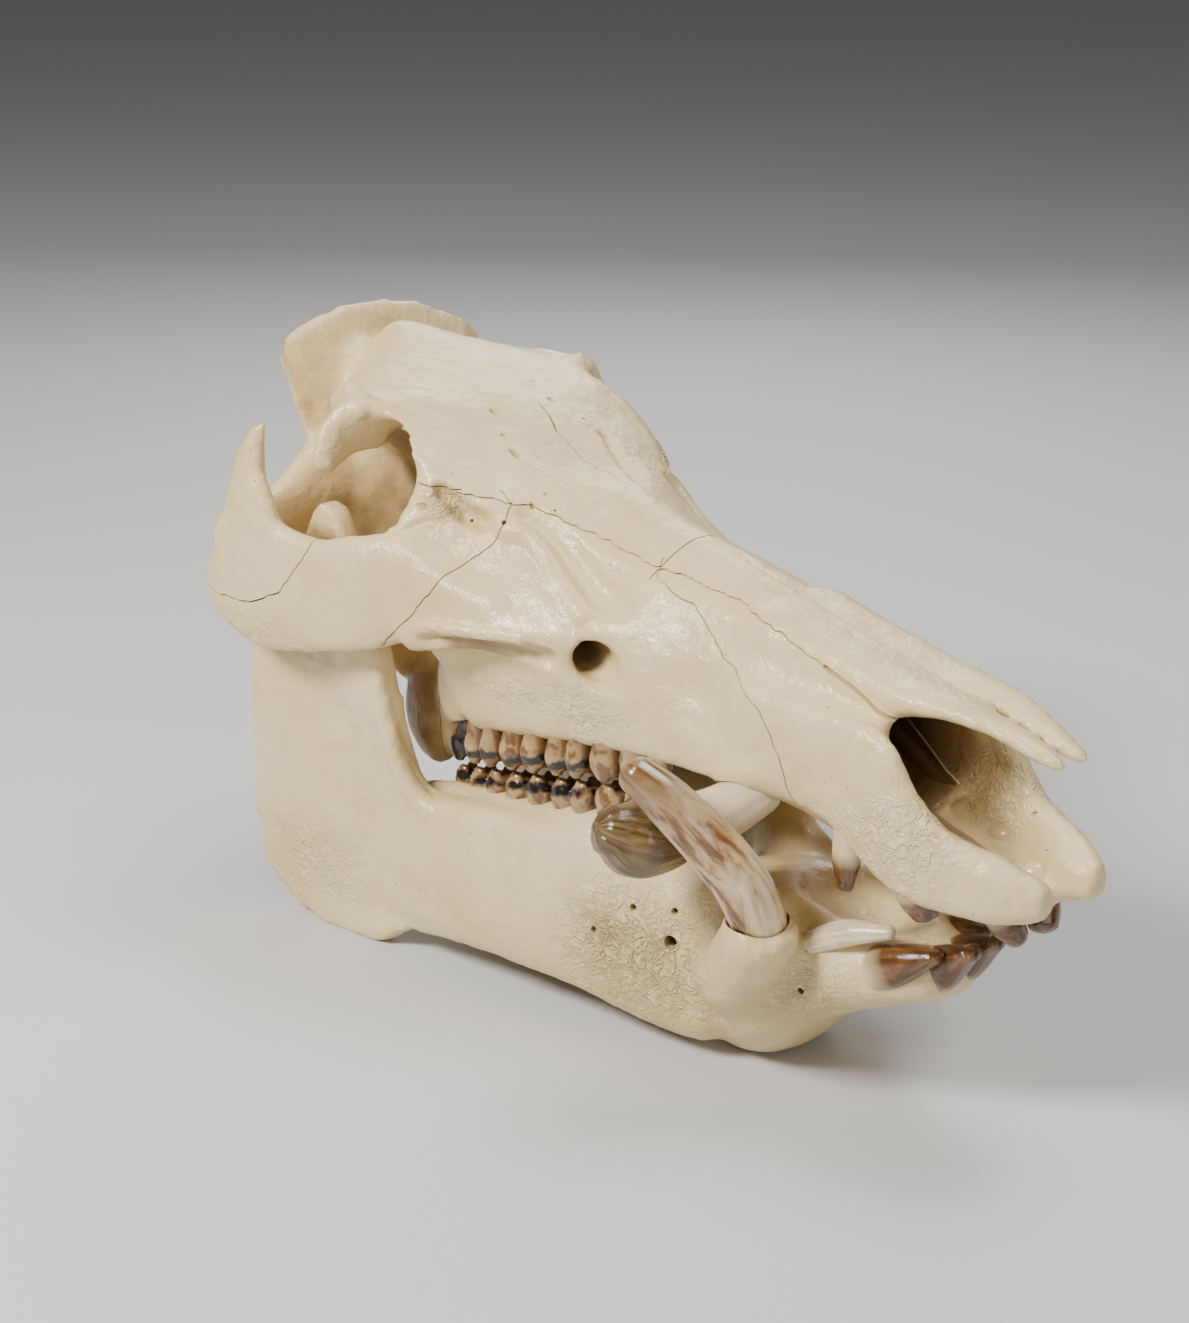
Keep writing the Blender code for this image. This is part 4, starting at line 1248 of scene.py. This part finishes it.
def bone_material():
    """Varnished bone: cream, warmer in patches and darkened in hollows by brown stain and painted shade,
    with pores and glossy wrinkles.
    """
    material, nodes, links, shader = shader_of("varnished_bone", 0.38, 0.28)
    where = nodes.new("ShaderNodeTexCoord").outputs["Object"]
    hollow = attribute(nodes, "hollow").outputs["Fac"]
    share = attribute(nodes, "wrinkle").outputs["Fac"]
    cloud = texture(nodes, links, where, 14, 3)
    patch = texture(nodes, links, where, 46, 5, 0.6)
    cloudy = ramp(nodes, links, cloud, [(0.36, 0.0), (0.68, 1.0)])
    base = mixed(nodes, links, cloudy, BONE_LIGHT, BONE_MIDDLE)
    base = mixed(nodes, links, ramp(nodes, links, patch, [(0.5, 0.0), (0.82, 0.55)]), base, BONE_WARM)
    # brown stain and painted shade: tan, then deep brown, where the bone is enclosed and in the stained
    # places
    base = mixed(nodes, links, ramp(nodes, links, hollow, [(0.26, 0.0), (0.50, 0.85)]), base, BONE_TAN_STAIN_AND_SHADE)
    base = mixed(nodes, links, ramp(nodes, links, hollow, [(0.50, 0.0), (0.85, 1.0)]), base, BONE_DEEP_BROWN_AND_SHADE)
    crack = attribute(nodes, "edge").outputs["Fac"]
    beside = ramp(nodes, links, crack, [(0.35, 0.0), (1.0, 0.75)])
    base = mixed(nodes, links, beside, base, CRACK_STAIN)
    pores = nodes.new("ShaderNodeTexVoronoi")
    pores.inputs["Scale"].default_value = 260
    links.new(where, pores.inputs["Vector"])
    few = texture(nodes, links, where, 60, 2)
    spots = maths(nodes, links, "MULTIPLY",
                  ramp(nodes, links, pores.outputs["Distance"], [(0.05, 1.0), (0.13, 0.0)]),
                  ramp(nodes, links, few, [(0.56, 0.0), (0.66, 1.0)]))
    base = mixed(nodes, links, spots, base, PORE_STAIN)
    links.new(base, shader.inputs["Base Color"])
    gloss = texture(nodes, links, where, 90, 4)
    links.new(ramp(nodes, links, gloss, [(0.3, 0.32), (0.75, 0.55)]), shader.inputs["Roughness"])
    shader.inputs["Subsurface Weight"].default_value = 0.12
    shader.inputs["Subsurface Radius"].default_value = (0.004, 0.002, 0.001)
    shader.inputs["Subsurface Scale"].default_value = 1.0
    swirls = texture(nodes, links, where, 170, 2.5, 2.2)
    folds = ramp(nodes, links, swirls, [(0.38, 1.0), (0.5, 0.0), (0.62, 1.0)])
    ripples = texture(nodes, links, where, 95, 3, 1.2)
    grain = texture(nodes, links, where, 420, 4)
    pits = maths(nodes, links, "SUBTRACT", 1.0, spots)
    bumped(nodes, links, shader, [
        (ripples, 0.5, 0.0011),
        (folds, share, 0.0012),
        (grain, 0.22, 0.0003),
        (pits, 0.5, 0.0006),
    ])
    return material


def crevice_material():
    """Dark varnish and dirt in cracks, foramina and sockets, deepened with painted shade."""
    material, nodes, links, shader = shader_of("crevice_varnish_and_shade", 0.45, 0.2)
    where = nodes.new("ShaderNodeTexCoord").outputs["Object"]
    cloud = texture(nodes, links, where, 160, 4)
    links.new(mixed(nodes, links, cloud, CREVICE, CREVICE_LIGHT), shader.inputs["Base Color"])
    bumped(nodes, links, shader, [(cloud, 0.4, 0.0005)])
    return material


def enamel_material():
    """Cheek teeth: cream enamel with brown and black bands, and painted shade in the recesses between the
    lobes.
    """
    material, nodes, links, shader = shader_of("stained_and_shaded_enamel", 0.2, 0.5)
    where = nodes.new("ShaderNodeTexCoord").outputs["Object"]
    cloud = texture(nodes, links, where, 120, 4)
    base = mixed(nodes, links, cloud, ENAMEL_LIGHT, ENAMEL_DARK)
    stain = attribute(nodes, "stain").outputs["Fac"]
    # the stain attribute holds the stained bands and the painted shade of the recesses
    brown = ramp(nodes, links, stain, [(0.1, 0.0), (0.4, 0.85)])
    base = mixed(nodes, links, brown, base, ENAMEL_BROWN)
    black = ramp(nodes, links, stain, [(0.25, 0.0), (0.62, 1.0)])
    links.new(mixed(nodes, links, black, base, ENAMEL_BLACK), shader.inputs["Base Color"])
    fine_grain = texture(nodes, links, where, 500, 3)
    bumped(nodes, links, shader, [(fine_grain, 0.2, 0.0002)])
    return material


def grained_material(name, stops, roughness, streak_scale, tip=None, coat=0.6):
    """Tusk or incisor: colours in long streaks, another one towards the tip."""
    material, nodes, links, shader = shader_of(name, roughness, coat)
    grain = attribute(nodes, "grain").outputs["Vector"]
    along = attribute(nodes, "along").outputs["Fac"]
    stretch = nodes.new("ShaderNodeMapping")
    stretch.inputs["Scale"].default_value = streak_scale
    links.new(grain, stretch.inputs["Vector"])
    streak = texture(nodes, links, stretch.outputs["Vector"], 1.6, 5, 0.7, 0.6)
    base = ramp(nodes, links, streak, stops)
    if tip:
        base = mixed(nodes, links, ramp(nodes, links, along, tip[0]), base, tip[1])
    links.new(base, shader.inputs["Base Color"])
    fine_grain = nodes.new("ShaderNodeMapping")
    fine_grain.inputs["Scale"].default_value = (9, 9, 3)
    links.new(grain, fine_grain.inputs["Vector"])
    lines = texture(nodes, links, fine_grain.outputs["Vector"], 2.0, 3)
    bumped(nodes, links, shader, [(streak, 0.25, 0.0006), (lines, 0.25, 0.0003)])
    return material


# Bones of the model

# Holes drilled in the bone: points of the path on the left, then half widths along it
FORAMINA = (
    (((97, 18.8, 178), (98, 18.8, 172), (99, 18.0, 164)), (1.7, 1.5, 1.2)),
    (((117, 28.8, 165), (117, 28, 161), (118, 26, 157)), (0.9, 0.8, 0.6)),
    (((117, 22.6, 167), (117, 22.4, 163), (118, 21, 159)), (0.7, 0.6, 0.5)),
    (((88.5, 53.5, 160.5), (91.5, 50, 159.5), (95, 45.5, 158)), (1.3, 1.2, 0.9)),
    (((105, 46, 160), (103.5, 42.5, 157.5), (101, 38, 154)), (0.9, 0.8, 0.6)),
    (((115.5, 38.5, 158.5), (113.4, 36, 156), (110, 32, 152.5)), (0.9, 0.8, 0.6)),
    (((124, 25.5, 164), (123.2, 24, 160.4), (122, 22.5, 157)), (0.7, 0.6, 0.4)),
    (((79, 12.1, 185), (79.6, 12.3, 181), (80, 12.6, 177)), (1.5, 1.3, 0.9)),
    (((90, 17.4, 180), (90.4, 17.3, 176), (91, 17, 172)), (1.1, 0.9, 0.6)),
    (((190, 38, 40.6), (187, 31, 40.2), (180, 25, 40)), (2.5, 2.2, 1.6)),
    (((190, 36, 50.8), (188, 31, 50.4), (184, 27, 50)), (1.3, 1.1, 0.8)),
    (((176, 40, 48.4), (174, 35, 48), (170, 31, 47)), (1.3, 1.1, 0.8)),
    (((162, 44, 37), (160, 38, 36.8), (156, 34, 36)), (1.2, 1.0, 0.7)),
    (((238, 30, 40.4), (235, 25, 40), (230, 21, 40)), (1.2, 1.0, 0.8)),
    (((204, 36, 32), (202, 31, 33), (199, 27, 34)), (0.9, 0.8, 0.6)),
    (((284, 16.5, 99), (281, 13.5, 98), (277, 11.5, 96.5)), (1.0, 0.9, 0.7)),
    (((296, 14.5, 92.5), (293, 11.5, 92), (289, 9.5, 91)), (0.9, 0.8, 0.6)),
)


# Crack of the forehead, with half widths along it
FOREHEAD_CRACK = ((79.6, 6.5, 182.2), (83.2, 5.6, 180.8), (87, 5.0, 179.3), (90.5, 3.7, 178),
                  (94.2, 1.8, 176),
                  (99, 2.4, 173.3), (103.6, 2.1, 170.7), (108.9, 1.9, 168.3), (112.9, 3, 167),
                  (116.3, 5.1, 166), (123, 5.0, 164.6), (130.2, 5.3, 163.2))
CRACK_HALVES = (0.25, 0.45, 0.4, 0.5, 0.3, 0.34, 0.3, 0.24, 0.2, 0.17, 0.12, 0.08)

# Stretch of the suture beside the nasals that gapes
GAPING = ((232, 137.2), (238, 135.4), (243, 133.9), (248, 132.0), (252, 130.2), (256, 128.8),
          (262, 126.0))
GAPING_WIDTH = 1.3


def foramina():
    return both([drill(path, half) for path, half in FORAMINA])


def bone_name(verts):
    """Which bone of the cranium a loose piece is, told from its extent."""
    low, high = verts.min(0), verts.max(0)
    middle = (low + high) / 2
    side = "left" if middle[1] > 0 else "right"
    if low[0] < 20 and high[2] > 190:
        return "braincase"
    if low[0] > NASAL_BACK - 5 and low[2] > 112:
        return f"nasal_{side}"
    if high[0] > 290:
        return f"premaxilla_{side}"
    if abs(middle[1]) > 45:
        return f"zygomatic_{side}"
    return "maxilla"


class Shade:
    """How enclosed the bone is at any point, from rays off the coarse bones."""

    REACH = 26.0
    RAYS = 20

    def __init__(self, objs):
        body = bmesh.new()
        for obj in objs:
            body.from_mesh(obj.data)
        tree = BVHTree.FromBMesh(body)
        spiral = [self.direction(k) for k in range(self.RAYS)]
        self.places = kdtree.KDTree(len(body.verts))
        self.values = []
        body.normal_update()
        for n, vert in enumerate(body.verts):
            turn = vert.normal.to_track_quat("Z", "Y")
            start = vert.co + vert.normal * 0.6
            met = 0.0
            for ray in spiral:
                distance = tree.ray_cast(start, turn @ ray, self.REACH)[3]
                if distance is not None:
                    met += 1 - distance / self.REACH
            self.values.append(met / self.RAYS)
            self.places.insert(vert.co, n)
        self.places.balance()
        body.free()

    def direction(self, k):
        """The k-th of the rays, spread over the half sphere about +Z, denser towards its pole."""
        height = math.sqrt(1 - (k + 0.5) / self.RAYS * 0.96)
        turn = k * math.pi * (3 - math.sqrt(5))
        flat = math.sqrt(1 - height * height)
        return Vector((flat * math.cos(turn), flat * math.sin(turn), height))

    def at(self, co):
        found = [self.places.find_n(Vector(p), 3) for p in co]
        return np.array([sum(self.values[i] for _, i, _ in near) / 3 for near in found])


# Places stained brown and darkened with painted shade, in hollows and under overhangs: centre on the left,
# radii, depth of the stain and shade, whether only walls that face the middle
STAINED_AND_SHADED = (
    ((64, 27, 164), (26, 24, 24), 0.56, False),
    ((38, 32, 140), (26, 20, 34), 0.5, False),
    ((124, 52, 121.5), (26, 16, 5), 0.5, False),
    ((40, 62, 102), (24, 16, 12), 0.36, False),
    ((82, 38, 64), (12, 8, 9), 0.4, False),
    ((64, 26, 80), (26, 14, 26), 0.5, False),
    ((226, 0, 110), (66, 30, 30), 1.0, True),
    ((230, 12.5, 111), (34, 4, 16), 0.66, False),
    ((262, 3.6, 93), (46, 4, 9), 0.42, False),
    ((150, 33, 124), (14, 7, 8), 0.5, False),
    ((101, 43, 158), (9, 5, 5), 0.42, False),
    ((160, 38, 42), (26, 10, 14), 0.3, False),
    ((96, 30, 90), (60, 12, 7), 0.28, False),
)


def dress(obj, shade, material, dirt_and_shade):
    """Attributes for the shader, then the two materials."""
    co = positions(obj.data)
    share_attribute(obj, "wrinkle", wrinkles(co))
    # hollow: painted shade where the bone is enclosed, raised by brown stain and painted shade in the
    # listed places
    hollow = shade.at(co)
    inward = np.clip(0.75 - 2 * normals(obj.data)[:, 1] * np.sign(co[:, 1]), 0, 1)
    for centre, radius, depth, only_inward in STAINED_AND_SHADED:
        share = depth * np.clip(1.6 * ball_weight(co, centre, radius), 0, 1)
        hollow = np.maximum(hollow, share * inward if only_inward else share)
    hollow = np.clip(hollow + 0.10 * rough(co, 9, 71, 3), 0, 1)
    share_attribute(obj, "hollow", hollow)
    share_attribute(obj, "edge", near_crevices(obj, co))
    obj.data.materials.clear()
    obj.data.materials.append(material)
    obj.data.materials.append(dirt_and_shade)
    obj.data.polygons.foreach_set("use_smooth", [True] * len(obj.data.polygons))
    obj.data.set_sharp_from_angle(angle=math.radians(38))
    return obj


def near_crevices(obj, co, reach=1.8):
    """1 beside a crack or a hole, 0 away from it."""
    walls = set()
    for face in obj.data.polygons:
        if face.material_index == 1:
            walls.update(face.vertices)
    if not walls:
        return np.zeros(len(co))
    tree = kdtree.KDTree(len(walls))
    for n in walls:
        tree.insert(Vector(co[n]), n)
    tree.balance()
    return np.clip(1 - np.array([tree.find(Vector(p))[2] for p in co]) / reach, 0, 1)


def boxed(obj, low, high):
    """Keeps a piece inside the box of the solids."""
    moved(obj, np.clip(positions(obj.data), low, high))


ORIGIN_X = upper_tusk()[0][:, 0].min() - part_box("tusk_upper_left")[0][0] / MM
BOX_LOW = np.array(cad_box[0]) / MM + (ORIGIN_X, 0, 0)
BOX_HIGH = np.array(cad_box[1]) / MM + (ORIGIN_X, 0, 0)

skull_coarse, jaw_coarse = softened(cranium()), softened(mandible())
shade = Shade([skull_coarse, jaw_coarse])
skull = weathered(fine(skull_coarse), 3)
jaw = level_base(weathered(fine(jaw_coarse), 23))
cut(skull, both([tube(tusk_rows(UPPER_TUSK, 0.7), sides=40, per_span=6, dome=0.6)]))
cut(jaw, both([tube(tusk_rows(LOWER_TUSK, 0.7), sides=40, per_span=6, up=(1, 0, 0), dome=0.7)]))
holes = foramina()
cut(skull, [hole for hole in holes if hole[0][:, 2].mean() > 80])
cut(jaw, [hole for hole in holes if hole[0][:, 2].mean() < 80])
cut(skull, [slit(FOREHEAD_CRACK, CRACK_HALVES)])
cut(skull, both([curtain(GAPING, 11, 40, GAPING_WIDTH)]))

BONE_COUNT = 9             # eight of the cranium and the lower jaw
bones = {"mandible": loose_objects(jaw)[0]}
for piece in part_bones(skull):
    bones.setdefault(bone_name(positions(piece.data)), piece)
for spare in [o for o in bpy.data.objects if o.name.startswith("piece") and o not in bones.values()]:
    discard(spare)
assert len(bones) == BONE_COUNT, sorted(bones)

bone, dirt_and_shade = bone_material(), crevice_material()
for name, obj in bones.items():
    obj.name = "bone_" + name
    dress(obj, shade, bone, dirt_and_shade)

dressed = [(obj, name, "bone") for name, obj in bones.items()]


# Teeth of the model

enamel = enamel_material()
for up, node in ((1, "mandible"), (-1, "maxilla")):
    row = cheek_teeth("cheek_teeth_" + ("lower" if up > 0 else "upper"), up)
    row.data.materials.append(enamel)
    row.data.polygons.foreach_set("use_smooth", [True] * len(row.data.polygons))
    dressed.append((row, node, "bone"))

# Depths of the ridges along them, in mm
INCISOR_GROOVES = 0.25
UPPER_TUSK_GROOVES = 0.45
LOWER_TUSK_GROOVES = 0.3

INCISOR_BROWN = [(0.28, (0.03, 0.009, 0.002)), (0.5, (0.11, 0.042, 0.009)), (0.72, (0.27, 0.125, 0.034))]
amber = grained_material("amber_enamel", INCISOR_BROWN, 0.12, (1.0, 1.0, 1.8),
                         ([(0.40, 1.0), (0.56, 0.0)], (0.66, 0.50, 0.27)), 0.6)
PALE_ENAMEL = [(0.30, (0.16, 0.07, 0.02)), (0.40, (0.62, 0.46, 0.26)), (0.60, (0.80, 0.68, 0.48))]
pale = grained_material("pale_enamel", PALE_ENAMEL, 0.15, (1.3, 1.3, 2.2), None, 0.9)
TUSK_OLIVE = [(0.28, (0.022, 0.010, 0.003)), (0.46, (0.085, 0.046, 0.014)), (0.72, (0.24, 0.155, 0.06))]
olive = grained_material("olive_ivory", TUSK_OLIVE, 0.22, (2.2, 2.2, 2.0),
                         ([(0.30, 1.0), (0.42, 0.0)], (0.66, 0.54, 0.33)), 0.5)
TUSK_CREAM = [(0.32, (0.03, 0.013, 0.006)), (0.42, (0.24, 0.105, 0.03)), (0.50, (0.60, 0.41, 0.21)),
              (0.62, (0.78, 0.63, 0.41))]
ivory = grained_material("cream_ivory", TUSK_CREAM, 0.16, (0.8, 0.8, 2.4),
                         ([(0.50, 0.0), (0.85, 0.80)], (0.13, 0.06, 0.018)), 0.6)


def sided(rows, side):
    """The rows on the left (1) or the right (-1)."""
    return [(row[0], side * row[1], *row[2:]) for row in rows]


for side, word in ((1, "left"), (-1, "right")):
    for n, (rows, up) in enumerate(UPPER_INCISORS):
        tooth = ringed(f"incisor_upper_{n + 1}_{word}", sided(rows, side), 28, 8, up=up)
        grooved(tooth, INCISOR_GROOVES, n + 3).data.materials.append(amber)
        dressed.append((tooth, "premaxilla_" + word, "bone"))
    for n, (rows, up) in enumerate(LOWER_INCISORS):
        tooth = ringed(f"incisor_lower_{n + 1}_{word}", sided(rows, side), 28, 8, up=up)
        grooved(tooth, INCISOR_GROOVES, n + 9).data.materials.append(pale if n == 2 else amber)
        dressed.append((tooth, "mandible", "bone"))
    upper = ringed("tusk_upper_shaft_" + word, sided(tusk_rows(UPPER_TUSK), side), 64, 14, dome=0.6)
    grooved(upper, UPPER_TUSK_GROOVES, 2).data.materials.append(olive)
    dressed.append((upper, "tusk_upper_" + word, "brown_enamel"))
    rows = sided(tusk_rows(LOWER_TUSK), side)
    lower = ringed("tusk_lower_shaft_" + word, rows, 64, 14, up=(1, 0, 0), dome=0.7)
    grooved(lower, LOWER_TUSK_GROOVES, 6).data.materials.append(ivory)
    dressed.append((lower, "tusk_lower_" + word, "ivory"))

# Thin scrolls of bone in the nose: outline in x and z, then how far out the leaf stands
SCROLLS = (
    (((205, 118), (218, 121), (232, 117), (243, 109), (251, 103.5), (257, 100.5), (249, 99.5), (238, 101),
      (222, 104), (206, 108)), 12.5),
    (((186, 126), (202, 130), (220, 130.5), (236, 128), (246, 124.5), (238, 123.5), (220, 124),
      (200, 122.5)), 5.5),
)


def scrolls():
    """Leaves of the turbinates on both sides, bowed outward, thin at their edges."""
    leaves = []
    for outline, out in SCROLLS:
        leaves.append(plate(outline, lambda x, z, out=out: out + 1.6 * math.sin((z - 100) / 6.0)
                            + 0.02 * (x - 200), 0.55, 6))
    return link("turbinates", mesh_of("turbinates", both(leaves)))


leaves = scrolls()
dress(leaves, shade, bone, dirt_and_shade)
dressed.append((leaves, "maxilla", "bone"))

for obj, node, slot in dressed:
    boxed(obj, BOX_LOW, BOX_HIGH)
    obj.data.transform(Matrix.Scale(MM, 4) @ Matrix.Translation((-ORIGIN_X, 0, 0)))
    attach(obj, "root")
    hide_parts(node)


# Studio

FLOOR_HALF = 12.0          # metres
FLOOR_DROP = 0.0002        # below the flats that the jaw stands on
FLOOR_COLOUR = (0.60, 0.595, 0.58, 1)
SKY_COLOUR = (1.0, 0.985, 0.96, 1)
SKY_STRENGTH = 0.13
floor_mesh = bpy.data.meshes.new("floor")
floor_mesh.from_pydata([(-FLOOR_HALF, -FLOOR_HALF, 0), (FLOOR_HALF, -FLOOR_HALF, 0),
                        (FLOOR_HALF, FLOOR_HALF, 0), (-FLOOR_HALF, FLOOR_HALF, 0)], [], [(0, 1, 2, 3)])
floor = link("floor", floor_mesh)
floor.location.z = cad_box[0].z - FLOOR_DROP
paper, paper_nodes, paper_links, paper_shader = shader_of("pale_paper", 0.9, 0.0)
paper_shader.inputs["Base Color"].default_value = FLOOR_COLOUR
floor_mesh.materials.append(paper)

world = bpy.data.worlds.new("studio")
world.use_nodes = True
world.node_tree.nodes["Background"].inputs["Color"].default_value = SKY_COLOUR
world.node_tree.nodes["Background"].inputs["Strength"].default_value = SKY_STRENGTH
bpy.context.scene.world = world

# Position in mm of the frame, size in m, power in W
LAMPS = {
    "key": ((-150, -1000, 950), 0.34, 27),
    "fill": ((1100, -350, 420), 0.5, 2.5),
    "top": ((150, 250, 1200), 0.5, 9),
    "rim": ((-700, 700, 700), 0.5, 4),
}
for name, (place, size, power) in LAMPS.items():
    lamp = bpy.data.lights.new(name, "AREA")
    lamp.size = size
    lamp.energy = power
    holder = bpy.data.objects.new(name, lamp)
    bpy.context.scene.collection.objects.link(holder)
    holder.location = Vector(place) * MM
    holder.rotation_euler = (Vector((0, 0, 0.09)) - holder.location).to_track_quat("-Z", "Y").to_euler()

# Where the photograph was taken from, in mm and degrees
CAMERA_PLACE = (671.5, -500.4, 363.7)
CAMERA_TURN = 48.021
CAMERA_DOWN = 19.173
CAMERA_ROLL = 0.455
SENSOR = 24.0
LENS_PIXELS = 2440.361
PHOTO_HEIGHT = 1323


def photo_camera():
    data = bpy.data.cameras.new("camera")
    data.sensor_fit = "VERTICAL"
    data.sensor_height = SENSOR
    data.lens = LENS_PIXELS / PHOTO_HEIGHT * SENSOR
    turn, down, roll = (math.radians(angle) for angle in (CAMERA_TURN, CAMERA_DOWN, CAMERA_ROLL))
    right = Vector((math.cos(turn), math.sin(turn), 0))
    ahead = Vector((-math.sin(turn) * math.cos(down), math.cos(turn) * math.cos(down), -math.sin(down)))
    above = right.cross(ahead)
    rolled_right = right * math.cos(roll) + above * math.sin(roll)
    rolled_above = -right * math.sin(roll) + above * math.cos(roll)
    camera = bpy.data.objects.new("camera", data)
    bpy.context.scene.collection.objects.link(camera)
    place = (Vector(CAMERA_PLACE) - Vector((ORIGIN_X, 0, 0))) * MM
    camera.matrix_world = Matrix.Translation(place) @ Matrix(
        (rolled_right, rolled_above, -ahead)).transposed().to_4x4()
    bpy.context.scene.camera = camera


photo_camera()
